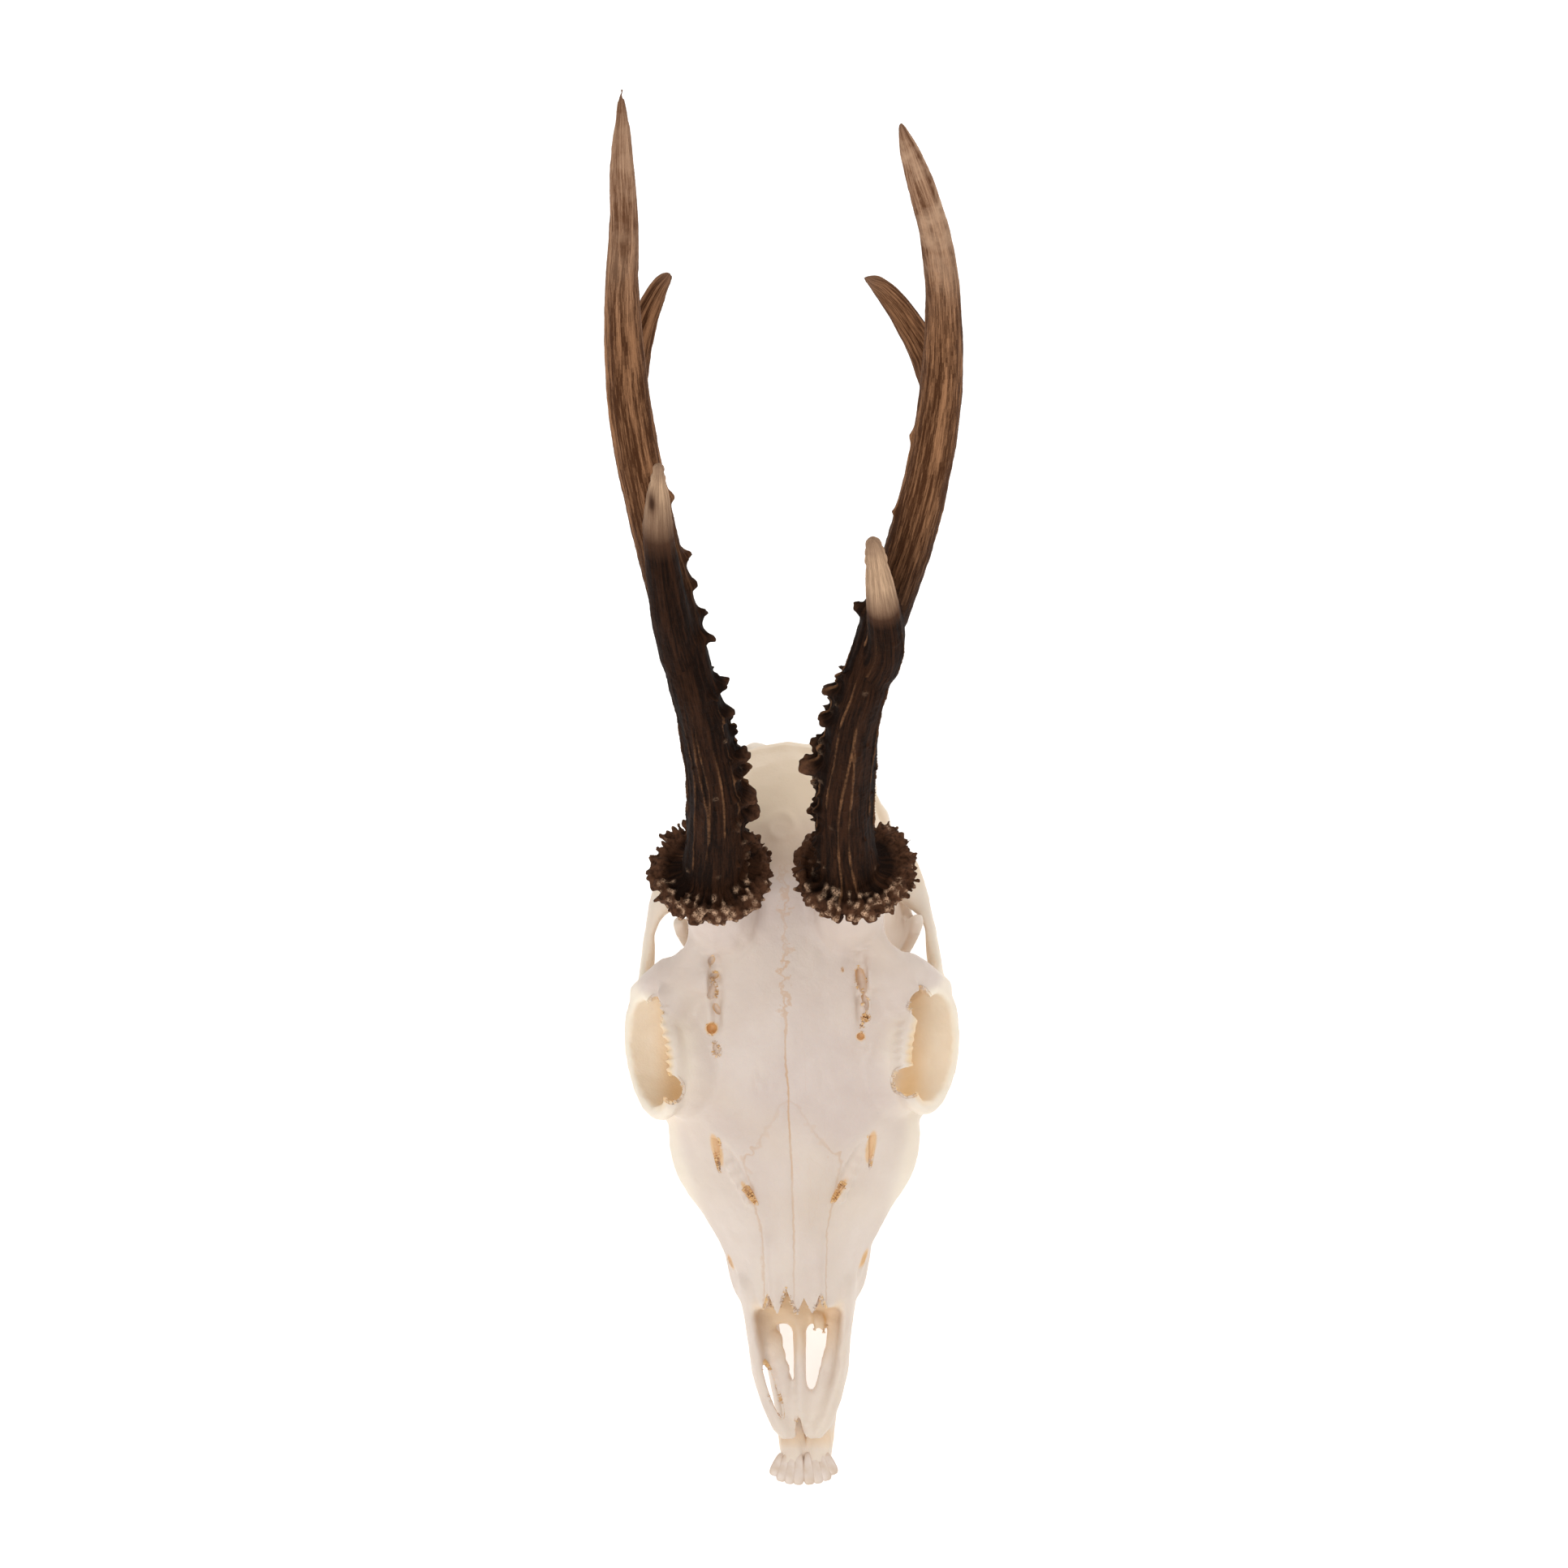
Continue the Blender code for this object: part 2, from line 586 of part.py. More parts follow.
def tooth_row(lengths, start, row_x, half, low, high):
    """Blocks one behind the other, wider towards the back."""
    teeth = []
    s = start
    for i, length in enumerate(lengths):
        share = i / (len(lengths) - 1)
        x = row_x[0] + (row_x[1] - row_x[0]) * share
        wide = half[0] + (half[1] - half[0]) * share
        centre = (x, s + length / 2, (low + high) / 2)
        teeth.append(block(centre, (2 * wide, length - TOOTH_SPACE, high - low), TOOTH_SOFTNESS))
        s += length
    return teeth


def nasal_points():
    """The two points in which each nasal bone ends, just under the line of the roof."""
    points = []
    for root_x, tip_x, tip_s in NASAL_TIPS:
        root = (root_x, 56, roof(56) - 2, 3.0, 1.6)
        middle = ((root_x + tip_x) / 2, 44, roof(44) - 1.6, 2.3, 1.5)
        near_tip = (tip_x, tip_s + 3, roof(40) - 1.6, 1.5, 1.1)
        points.append(tube([root, middle, near_tip, (tip_x, tip_s, roof(38) - 1.9, 0.6, 0.6)]))
    return points


def face_side():
    """The paired forms of the face on the animal's left."""
    socket = [
        orbit_bowl(BOWL_WALL, BOWL_SINK, BOWL_DEPTH),
        ring(ORBIT_CENTRE, orbit_turn(), ORBIT_RADII[::-1], RIM_THICK),
    ]
    face = [tube(ARCH), tube(ALVEOLAR_EDGE), tube(PREMAXILLA_ARM), tube(PALATE_ROD, sides=8)]
    brow = [tube(POSTORBITAL_BAR), tube(ANTLER_PILLAR), tube(PILLAR_RIDGE)]
    teeth = tooth_row(UPPER_TEETH, UPPER_ROW_START, UPPER_ROW_X, UPPER_TOOTH_HALF, GAP, UPPER_TOOTH_TOP)
    return socket + face + brow + nasal_points() + teeth


def base_side():
    """The paired forms of the skull's back and underside on the animal's left."""
    balls = [ball(*knob) for knob in (EAR_CAPSULE, EAR_OPENING, NECK_JOINT)]
    return balls + [tube(rod) for rod in (PARACONDYLAR_SPUR, NECK_CREST, PTERYGOID)]


def openings():
    """Cutters for the sockets, the temporal windows, the nose, the palate and the neck opening."""
    around, across = TEAR_SLIT_TURN
    slit = Matrix.Rotation(around, 4, "Z") @ Matrix.Rotation(across, 4, "X")
    side = [
        orbit_bowl(-SOCKET_WALL, SOCKET_SINK, ORBIT_DEPTH),
        ball(*BEHIND_SOCKET, fineness=3),
        tube(TEMPORAL_WINDOW, sides=20),
        ball(*TEAR_SLIT, slit, 3),
        ball(*CHEEK_NERVE_HOLE, Matrix.Rotation(CHEEK_NERVE_TURN, 4, "Z"), 3),
        ball(*BROW_GROOVE, Matrix.Rotation(BROW_GROOVE_TILT, 4, "X"), 3),
    ]
    middle = [
        trapezoid_loft(NOSE, sides=20, steps=2),
        trapezoid_loft(PALATE_VAULT, sides=20, steps=2),
        ball(*NECK_HOLE, fineness=3),
    ]
    return both_sides(side) + middle


def cranium():
    """The whole upper skull in one skin, with its openings."""
    middle = [
        trapezoid_loft(MUZZLE_AND_FOREHEAD),
        ball(BRAINCASE_CENTRE, BRAINCASE_RADII),
        tube(BRAIN_FLOOR),
        tube(SKULL_BASE),
        ball(*OCCIPUT),
        tube(SEPTUM, sides=10),
        block(*PALATE_FRONT),
    ]
    whole = grown_together(middle + both_sides(face_side() + base_side()), CRANIUM_VOXEL)
    for cutter in openings():
        combine(whole, cutter, "DIFFERENCE")
    thinned(largest_body(whole), CRANIUM_FACES)
    for side in ("left", "right"):
        combine(whole, above_burr(side), "DIFFERENCE")
    return whole


def above_burr(side):
    """A block over the pillar's flat top, on which the antler stands."""
    centre, turn = burr_frame(side)
    slab = prism([(-17, -30), (17, -30), (17, 30), (-17, 30)], "h", 0, 30)
    slab.data.transform(Matrix.Translation(centre) @ turn)
    return slab


# ---------------------------------------------------------------- the bones of the cranium

def nasal_outline():
    """From above: the long bone beside the middle line, to its pointed end on the forehead."""
    return [
        (GAP / 2, 28), (8.3, 28), (8.0, 44), (8.6, 58), (10.6, 66), (13.4, 74), (12.6, 78), (9.4, 80),
        (7.0, 84), (4.0, 88), (2.2, 91.5), (GAP / 2, 92.5),
    ]


def frontal_outline():
    """From above: the forehead, the roof of the socket, the wing behind it and the antler's pillar."""
    return [
        (GAP / 2, 60), (12, 70), (20, 80), (25.5, 88), (30, 95), (46, 96), (50, 130), (34, 136),
        (28, 150), (27, 163), (14, 166), (GAP / 2, 167),
    ]


def premaxilla_outline():
    """From the side: all in front of a line that slants up and back over the gap before the teeth."""
    return [(-12, -12), (-12, 60), (49, 60), (49, 30), (43, 24), (37, 13), (30, 6), (29, -12)]


def zygomatic_outline():
    """From above: the cheek bone, the lower rim of the socket and the front of the arch."""
    return [
        (25, 60), (31.5, 83), (31.5, 92), (33.5, 98), (33.5, 116), (35, 122), (35, 139), (60, 145), (60, 60),
    ]


def maxilla_outline():
    """From the side: the face between premaxilla and socket, and the palate with its teeth."""
    return [(20, -12), (20, 60), (99, 60), (99, 16), (122, 14), (122, -12)]


def under_nasal(s):
    """The level of the seam below the nasal bone, inside the nose."""
    return 26.0 + 0.345 * (s - 30)


def under_frontal(s):
    return 43 if s < 100 else 46


def bone_regions(grow):
    """Each bone's share of the cranium on the left, in the order in which they are cut off."""
    inner, above = GAP / 2, 120  # beside the middle plane, and clear above the pillars
    return [
        ("nasal", lambda: prism(nasal_outline(), "h", under_nasal, above, grow)),
        ("frontal", lambda: prism(frontal_outline(), "h", under_frontal, above, grow)),
        ("premaxilla", lambda: prism(premaxilla_outline(), "x", inner, 60, grow)),
        ("zygomatic", lambda: prism(zygomatic_outline(), "h", 2, 50, grow)),
        ("maxilla", lambda: prism(maxilla_outline(), "x", inner, 60, grow)),
    ]


def lightened(bone):
    """The bone with its share of triangles."""
    bone.data.calc_loop_triangles()
    return mended(thinned(bone, BONE_FACES_KEPT * len(bone.data.loop_triangles)))


def slab_on(side, make):
    """A region's slab, which is drawn for the left, on this side."""
    slab = make()
    if side == "left":
        return slab
    twin = mirrored(slab)
    drop(slab)
    return twin


def bones_of(whole):
    """The cranium parted into its named bones.  What is left at the end is the braincase."""
    bones = {}
    for (name, region), (_, wider) in zip(bone_regions(0.0), bone_regions(SUTURE)):
        for side in ("left", "right"):
            bone = combine(copy_of(whole), slab_on(side, region), "INTERSECT")
            bones[f"{name}_{side}"] = lightened(largest_body(bone))
            combine(whole, slab_on(side, wider), "DIFFERENCE")
    bones["braincase"] = lightened(largest_body(whole))
    return bones


# ---------------------------------------------------------------- the lower jaw

def ramus():
    """The upright plate at the back of the jaw.  It leans out towards the joint."""
    half = RAMUS_THICK / 2
    foot_x, foot_s, foot_h = RAMUS_FOOT
    back, up, up_again = RAMUS_LEAN
    slab = prism(list(RAMUS_OUTLINE), "x", -half, half)
    for vertex in slab.data.vertices:
        s, h = vertex.co.yz
        lean = (s - foot_s) * back + (h - foot_h) * up + max(0, h - RAMUS_BEND_H) * up_again
        vertex.co.x += foot_x + lean
    return slab


def incisors():
    """The front teeth of the lower jaw, thin spades that fan out forwards."""
    teeth = []
    for root_x, tip_x, half in INCISORS:
        root = (root_x, -4.5, 2.0, half * 0.8, 1.6)
        middle = ((root_x + tip_x) / 2, -8.5, 3.2, half, 1.4)
        teeth.append(tube([root, middle, (tip_x, -13.2, 4.6, half, 0.7)], sides=10))
    return teeth


def jaw_half():
    """The left half of the lower jaw."""
    forms = [tube(JAW_BODY), ramus(), ball(*JAW_JOINT), tube(JAW_ANGLE_RIM)] + incisors()
    forms += tooth_row(LOWER_TEETH, LOWER_ROW_START, LOWER_ROW_X, LOWER_TOOTH_HALF, LOWER_TOOTH_FOOT, 0.0)
    half = thinned(grown_together(forms, MANDIBLE_VOXEL, 2), MANDIBLE_FACES)
    return largest_body(cut_flat(half, (GAP / 2, 0, 0), (-1, 0, 0)))


def lower_jaw():
    """Both halves in their place under the skull, each with the flats on which it lies."""
    left = jaw_half()
    halves = {"mandible_left": left, "mandible_right": mirrored(left)}
    place = Matrix.Translation((JAW_SHIFT, 0, 0)) @ Matrix.Rotation(JAW_TURN, 4, "Z")
    for half in halves.values():
        half.data.transform(place)
        cut_flat(half, (0, *HEEL), (0, -math.sin(NOSE_DOWN), -math.cos(NOSE_DOWN)))
        largest_body(half)
    return halves


# ---------------------------------------------------------------- the antlers

def burr_frame(side):
    """Where the burr sits on its pillar, and its turn: Z along the antler, X to the antler's inner side."""
    sign = 1 if side == "left" else -1
    centre = Vector((BURR_FOOT[0] * sign, BURR_FOOT[1], BURR_H))
    axis = Vector((BURR_SPLAY * sign, math.sin(BURR_LEAN), math.cos(BURR_LEAN))).normalized()
    inner = Vector((-sign, 0, 0))
    inner = (inner - axis * inner.dot(axis)).normalized()
    turn = Matrix((inner, axis.cross(inner), axis)).transposed().to_4x4()
    return centre, turn


def burr(side):
    """The crown of knobs round the foot of the antler."""
    centre, turn = burr_frame(side)
    disc = (BURR_RADIUS - 1, BURR_RADIUS - 1, BURR_THICK)
    forms = [ball(centre + turn @ Vector((0, 0, 3.0)), disc, turn, 3)]
    mean, swing, more = KNOB_LENGTH
    for k in range(BURR_KNOBS):
        a = 2 * math.pi * k / BURR_KNOBS
        length = mean + swing * math.sin(5 * a + len(side)) + more * abs(math.sin(a))
        place = Vector((math.cos(a), math.sin(a), 0)) * (BURR_RADIUS - 0.6) + Vector((0, 0, 3.4))
        spoke = turn @ Matrix.Rotation(a, 4, "Z")
        forms.append(ball(centre + turn @ place, (length, *KNOB_HALF), spoke, 2))
    return forms


def pearls(side, beam):
    """Knobs up the inner side of the lower and middle beam."""
    path = through(beam, 8)
    inner = Vector((-1 if side == "left" else 1, 0, 0))
    forms = []
    for s, angle, size in PEARLS[side]:
        near = int(np.argmin(abs(path[:, 1] - s)))
        along = Vector(path[near + 1][:3] - path[near - 1][:3]).normalized()
        out = Matrix.Rotation(math.radians(angle), 3, along) @ inner
        turn = out.to_track_quat("X", "Z").to_matrix().to_4x4()
        foot = Vector(path[near][:3]) + out * path[near][3]
        forms.append(ball(foot, (size, size * 0.6, size * 0.6), turn, 2))
    return forms


def clearance_of(obj):
    """A copy that stands one gap proud all round."""
    wider = copy_of(obj)
    swell = wider.modifiers.new("swell", "DISPLACE")
    swell.mid_level = 0
    swell.strength = GAP
    return settle_modifiers(wider)


def tine(stations, beam):
    """A side branch, which stops just short of the beam."""
    branch = thinned(grown_together([tube(stations, 12)], ANTLER_VOXEL, 1), TINE_FACES)
    return largest_body(combine(branch, clearance_of(beam), "DIFFERENCE"))


def antler(side):
    """One antler in five lengths: three of the beam, and its two tines."""
    centre, turn = burr_frame(side)
    beam = BEAMS[side]
    forms = [tube([*row, row[3] * 1.05] for row in beam)] + burr(side) + pearls(side, beam)
    stem = thinned(grown_together(forms, ANTLER_VOXEL, 1), BEAM_FACES)
    axis = turn @ Vector((0, 0, 1))
    cut_flat(stem, centre + axis * GAP, -axis)
    pieces = {
        f"antler_{side}_front_tine": tine(FRONT_TINES[side], stem),
        f"antler_{side}_rear_tine": tine(REAR_TINES[side], stem),
    }
    rows = np.array(beam)[:, :3]
    forks = []
    for fork in (FRONT_FORK, REAR_FORK):
        forks.append((Vector(rows[fork]), Vector(rows[fork + 1] - rows[fork - 1]).normalized()))
    (low, low_way), (high, high_way) = forks
    middle, top = copy_of(stem), copy_of(stem)
    cut_flat(stem, low - low_way * GAP / 2, low_way)
    cut_flat(middle, low + low_way * GAP / 2, -low_way)
    cut_flat(middle, high - high_way * GAP / 2, high_way)
    cut_flat(top, high + high_way * GAP / 2, -high_way)
    pieces[f"antler_{side}_lower_beam"] = largest_body(stem)
    pieces[f"antler_{side}_middle_beam"] = largest_body(middle)
    pieces[f"antler_{side}_top_point"] = largest_body(top)
    return pieces


# ---------------------------------------------------------------- finish

def finish_material(name, colour, roughness):
    material = bpy.data.materials.new(name)
    material.use_nodes = True
    shader = material.node_tree.nodes["Principled BSDF"]
    shader.inputs["Base Color"].default_value = (*colour, 1)
    shader.inputs["Roughness"].default_value = roughness
    shader.inputs["Metallic"].default_value = 0.0
    material.diffuse_color = (*colour, 1)
    return material


def lay_down():
    """From the skull's own frame in millimetres to its rest on the floor, in metres."""
    tip = Matrix.Rotation(NOSE_DOWN, 4, "X")
    floor = (tip @ Vector((0, *HEEL))).z
    move = Matrix.Translation((0, -ORIGIN_BACK, -floor))
    return Matrix.Scale(MM, 4) @ move @ tip


def main():
    clear_scene()
    pieces = {**bones_of(cranium()), **lower_jaw(), **antler("left"), **antler("right")}
    rest = lay_down()
    for name, obj in pieces.items():
        finish = ANTLER_FINISH if name.startswith("antler") else BONE_FINISH
        obj.name = obj.data.name = name
        obj.data.transform(rest)
        obj.data.materials.clear()
        obj.data.materials.append(finish_material(name, *finish))
        obj.data.shade_smooth()
        obj.data.set_sharp_from_angle(angle=SHARP_EDGE)


main()
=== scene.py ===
# %% [markdown]
# # A roebuck's skull
# The skull lies on its lower jaw, and the antlers lie back over the table. The solid model gives every
# bone and antler its place and size. This lesson gives them their real surface: sutures, grooves, teeth,
# pearls on the antlers, and the colours of cleaned bone and of antler rubbed on bark.

# %% Load the solid model
import math

import bpy
import numpy as np
from mathutils import Matrix, Vector, kdtree
from mathutils.bvhtree import BVHTree


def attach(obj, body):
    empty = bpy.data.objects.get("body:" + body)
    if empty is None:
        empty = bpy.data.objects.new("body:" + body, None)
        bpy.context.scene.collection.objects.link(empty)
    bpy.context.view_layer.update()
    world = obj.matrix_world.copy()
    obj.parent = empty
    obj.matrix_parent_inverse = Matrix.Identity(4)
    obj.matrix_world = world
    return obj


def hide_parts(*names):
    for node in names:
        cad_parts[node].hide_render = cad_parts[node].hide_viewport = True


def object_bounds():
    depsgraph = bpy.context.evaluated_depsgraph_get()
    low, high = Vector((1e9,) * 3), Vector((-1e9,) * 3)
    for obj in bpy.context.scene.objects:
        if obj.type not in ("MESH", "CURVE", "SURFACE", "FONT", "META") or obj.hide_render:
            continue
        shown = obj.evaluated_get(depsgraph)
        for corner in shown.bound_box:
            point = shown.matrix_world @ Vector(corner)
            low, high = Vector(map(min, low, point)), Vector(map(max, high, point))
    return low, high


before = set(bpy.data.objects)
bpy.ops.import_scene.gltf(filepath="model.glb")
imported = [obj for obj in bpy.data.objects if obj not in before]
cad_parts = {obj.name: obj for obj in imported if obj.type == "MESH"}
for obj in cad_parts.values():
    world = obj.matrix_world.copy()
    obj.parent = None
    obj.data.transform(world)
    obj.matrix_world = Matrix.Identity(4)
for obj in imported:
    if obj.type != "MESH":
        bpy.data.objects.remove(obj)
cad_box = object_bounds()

MM = 0.001
print("solid model, mm:", [round(float(hi - lo) / MM, 1) for lo, hi in zip(*cad_box)])

# %% [markdown]
# The skull is easiest to describe along itself: x to the animal's left, s back from the tip of the upper
# jaw, h up from the chewing surface. It rests with its nose a little down, so one turn and one shift
# take those numbers to the table.

# %% The skull's own directions
NOSE_DOWN = math.radians(9)
ORIGIN_BACK = 122.3
LIFT = 7.417


def turned(x, s, h):
    """A direction given along the skull, as a direction over the table."""
    return np.stack([np.asarray(x) + 0 * s, math.cos(NOSE_DOWN) * s - math.sin(NOSE_DOWN) * h,
                     math.sin(NOSE_DOWN) * s + math.cos(NOSE_DOWN) * h], -1)


def at_rest(x, s, h):
    """Skull numbers in mm to a place over the table in metres."""
    return (turned(x, s, h) + np.array([0, -ORIGIN_BACK, LIFT])) * MM


def along_skull(points):
    """Places over the table in metres to skull numbers in mm: x, s and h."""
    back = points[:, 1] / MM + ORIGIN_BACK
    up = points[:, 2] / MM - LIFT
    s = math.cos(NOSE_DOWN) * back + math.sin(NOSE_DOWN) * up
    return points[:, 0] / MM, s, math.cos(NOSE_DOWN) * up - math.sin(NOSE_DOWN) * back


# %% [markdown]
# The picture is taken from above and a little in front, from about a metre away, with the skull's length
# up the frame. A long lens from that distance keeps the antlers and the nose in proportion.

# %% The camera
CAMERA_AT = (0.026177, -0.231420, 1.055456)
CAMERA_TURN = (15.9698, 1.7999, -0.8367)
CAMERA_VIEW = 23.947

bpy.ops.object.camera_add(location=CAMERA_AT, rotation=[math.radians(a) for a in CAMERA_TURN])
camera = bpy.context.object
camera.name = "camera"
camera.data.sensor_fit = "AUTO"
camera.data.angle = math.radians(CAMERA_VIEW)
camera.data.clip_start = 0.05
bpy.context.scene.camera = camera
bpy.context.scene.view_settings.view_transform = "Standard"

# %% [markdown]
# The skull lies on a white sheet that is lit from below, as under a product picture, so the openings and
# the background stay white. The light is a large soft box over the nose, a wide one over the antlers, and
# a pale room, so that shadows stay soft and short.

# %% Table and light


def linear(code):
    """An sRGB hex colour as the linear colour that a shader works with."""
    parts = [int(code[i : i + 2], 16) / 255 for i in (1, 3, 5)]
    return tuple(p / 12.92 if p <= 0.04045 else ((p + 0.055) / 1.055) ** 2.4 for p in parts) + (1.0,)


def add(material, kind, inputs, give=0, **settings):
    """Adds a node with its settings, and gives one of its outputs. An input gets a value or an output."""
    tree = material.node_tree
    node = tree.nodes.new(kind)
    for name, value in settings.items():
        setattr(node, name, value)
    for name, value in inputs.items():
        if isinstance(value, bpy.types.NodeSocket):
            tree.links.new(value, node.inputs[name])
        else:
            node.inputs[name].default_value = value
    return node.outputs[give] if node.outputs else node


def new_material(name):
    material = bpy.data.materials.new(name)
    material.use_nodes = True
    material.node_tree.nodes.clear()
    return material


# Opal acrylic, cast and left matt: the eye sees an even white with no edge and no reflection in it.
sheet = new_material("acrylic_sheet_opal_lit_from_below")
surface = add(sheet, "ShaderNodeBsdfPrincipled", {
    "Base Color": linear("#F2F1F0"), "Roughness": 0.75, "IOR": 1.49,
    "Emission Color": linear("#FFFFFF"), "Emission Strength": 0.5})
add(sheet, "ShaderNodeOutputMaterial", {"Surface": surface})
bpy.ops.mesh.primitive_plane_add(size=6)
table = bpy.context.object
table.name = "table"
table.data.materials.append(sheet)

world = bpy.data.worlds.new("pale_room")
world.use_nodes = True
world.node_tree.nodes["Background"].inputs["Color"].default_value = linear("#FFFDFA")
world.node_tree.nodes["Background"].inputs["Strength"].default_value = 0.5
bpy.context.scene.world = world

for name, place, aim, size, power in (
    ("soft_box_over_nose", (-0.35, -0.75, 0.95), (0, -0.02, 0.05), 0.8, 5.4),
    ("soft_box_over_antlers", (0.55, 0.45, 1.1), (0, 0.05, 0.1), 0.9, 4.2),
):
    bpy.ops.object.light_add(type="AREA", location=place)
    lamp = bpy.context.object
    lamp.name = name
    lamp.data.shape = "SQUARE"
    lamp.data.size = size
    lamp.data.energy = power
    lamp.rotation_euler = (Vector(aim) - Vector(place)).to_track_quat("-Z", "Y").to_euler()

# %% [markdown]
# Bones and antlers start from copies of the solid model's own nodes. The copies of one bone group are
# joined, swollen a little so that the thin cuts between them close, and remeshed into one fine skin of
# even quads. That skin can then be smoothed and carved like clay.

# %% From solid nodes to a fine skin
SWELL = 0.25 * MM
MERGE = 0.0005 * MM
COARSE_VOXEL = 0.75 * MM


def only(piece):
    bpy.ops.object.select_all(action="DESELECT")
    piece.select_set(True)
    bpy.context.view_layer.objects.active = piece


def opened(piece):
    only(piece)
    bpy.ops.object.mode_set(mode="EDIT")
    bpy.ops.mesh.select_all(action="DESELECT")


def closed():
    bpy.ops.object.mode_set(mode="OBJECT")


def bead(place, half, turn=(0, 0, 0), fine=2):
    """Adds a rounded lump to the piece that is open in edit mode. Its half sizes are in mm."""
    bpy.ops.mesh.primitive_ico_sphere_add(
        subdivisions=fine, radius=MM, location=place, rotation=turn, scale=half)


def copied(nodes, name):
    """Copies of CAD nodes as one mesh, with their loose triangles merged and swollen."""
    parts = []
    for node in nodes:
        parts.append(bpy.data.objects.new(name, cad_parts[node].data.copy()))
        bpy.context.collection.objects.link(parts[-1])
    only(parts[0])
    for part in parts[1:]:
        part.select_set(True)
    if len(parts) > 1:
        bpy.ops.object.join()
    piece = parts[0]
    piece.name = name
    piece.data.name = name
    piece.data.materials.clear()
    bpy.ops.object.mode_set(mode="EDIT")
    bpy.ops.mesh.select_all(action="SELECT")
    bpy.ops.mesh.remove_doubles(threshold=MERGE)
    bpy.ops.transform.shrink_fatten(value=SWELL)
    bpy.ops.object.mode_set(mode="OBJECT")
    return piece


def modified(piece, kind, **settings):
    """Applies one modifier with its settings."""
    only(piece)
    change = piece.modifiers.new(kind, kind)
    for name, value in settings.items():
        setattr(change, name, value)
    bpy.ops.object.modifier_apply(modifier=change.name)
    return piece


def remeshed(piece, voxel):
    return modified(piece, "REMESH", mode="VOXEL", voxel_size=voxel)


def read(piece):
    co = np.empty(len(piece.data.vertices) * 3)
    piece.data.vertices.foreach_get("co", co)
    return co.reshape(-1, 3)


def write(piece, co):
    piece.data.vertices.foreach_set("co", np.ascontiguousarray(co, dtype=np.float32).ravel())
    piece.data.update()


def edges_of(piece):
    pairs = np.empty(len(piece.data.edges) * 2, int)
    piece.data.edges.foreach_get("vertices", pairs)
    return pairs.reshape(-1, 2)


def normals_of(piece):
    out = np.empty(len(piece.data.vertices) * 3)
    piece.data.vertex_normals.foreach_get("vector", out)
    return out.reshape(-1, 3)


def averaged(values, pairs):
    """The mean of each vertex's neighbours."""
    count = len(values)
    degree = np.bincount(pairs.ravel(), minlength=count).clip(1)
    flat = values.reshape(count, -1)
    columns = [np.bincount(pairs[:, 0], flat[pairs[:, 1], k], count)
               + np.bincount(pairs[:, 1], flat[pairs[:, 0], k], count) for k in range(flat.shape[1])]
    return (np.stack(columns, 1) / degree[:, None]).reshape(values.shape)


def smoothed(piece, rounds, pull=0.55, push=-0.57):
    """Smooths away the facets: each pull in is followed by a push out, so thin parts keep their size."""
    co = read(piece)
    pairs = edges_of(piece)
    for _ in range(rounds):
        co += pull * (averaged(co, pairs) - co)
        co += push * (averaged(co, pairs) - co)
    write(piece, co)


def cloudy(points, size, seed):
    """Smooth random values from -1 to 1, in lumps of about this size."""
    table = np.random.default_rng(seed).uniform(-1, 1, (32, 32, 32))
    scaled = points / size
    cell = np.floor(scaled).astype(int)
    part = scaled - cell
    part = part * part * (3 - 2 * part)
    total = np.zeros(len(points))
    for corner in np.ndindex(2, 2, 2):
        share = np.prod(np.where(np.array(corner) == 1, part, 1 - part), axis=1)
        total += share * table[tuple(((cell + corner) % 32).T)]
    return total


def hump(values, middle, width, power=2):
    """1 where a value is in the middle, and falling to 0 past this width."""
    return np.exp(-(((values - middle) / width) ** power))


def keep(piece, **numbers):
    """Stores numbers for each vertex under their names, for the material to read."""
    for name, values in numbers.items():
        stored = piece.data.attributes.new(name, "FLOAT", "POINT")
        stored.data.foreach_set("value", values.astype(np.float32))


# %% [markdown]
# ## The cranium
# The copies give the cranium its large shapes. Before the fine skin is made, lumps of bone go where the
# real skull has more: rough bone in the grooves of the brow, thin plates beside the nose, the lobes and
# bars at the front of the palate. They melt into the skin when it is remeshed.

# %% Cranium skin
CRANIUM_VOXEL = 0.6 * MM
SIDES = ("left", "right")
SIGN = {"left": 1, "right": -1}
FACE = ("frontal", "nasal", "premaxilla", "maxilla")
CRANIUM_BONES = ["braincase"] + [f"{bone}_{side}" for side in SIDES for bone in (*FACE, "zygomatic")]
ABOVE_ALL = 110.0  # mm, a height over the whole cranium


def skull_turn(about_h=0.0, about_x=0.0):
    """Euler angles over the table for a lump that is turned in the skull's own directions."""
    tilt = Matrix.Rotation(NOSE_DOWN, 3, "X")
    own = Matrix.Rotation(math.radians(about_h), 3, "Z") @ Matrix.Rotation(math.radians(about_x), 3, "X")
    return (tilt @ own).to_euler()


def surface_tree(piece):
    return BVHTree.FromPolygons([v.co for v in piece.data.vertices],
                                [p.vertices[:] for p in piece.data.polygons])


def height_at(tree, x, s):
    """How high the bone stands at x and s, seen from above."""
    down = Vector(turned(0, 0, -1.0))
    found = tree.ray_cast(Vector(at_rest(x, s, ABOVE_ALL)), down)[0]
    return float(along_skull(np.array([found]))[2][0])


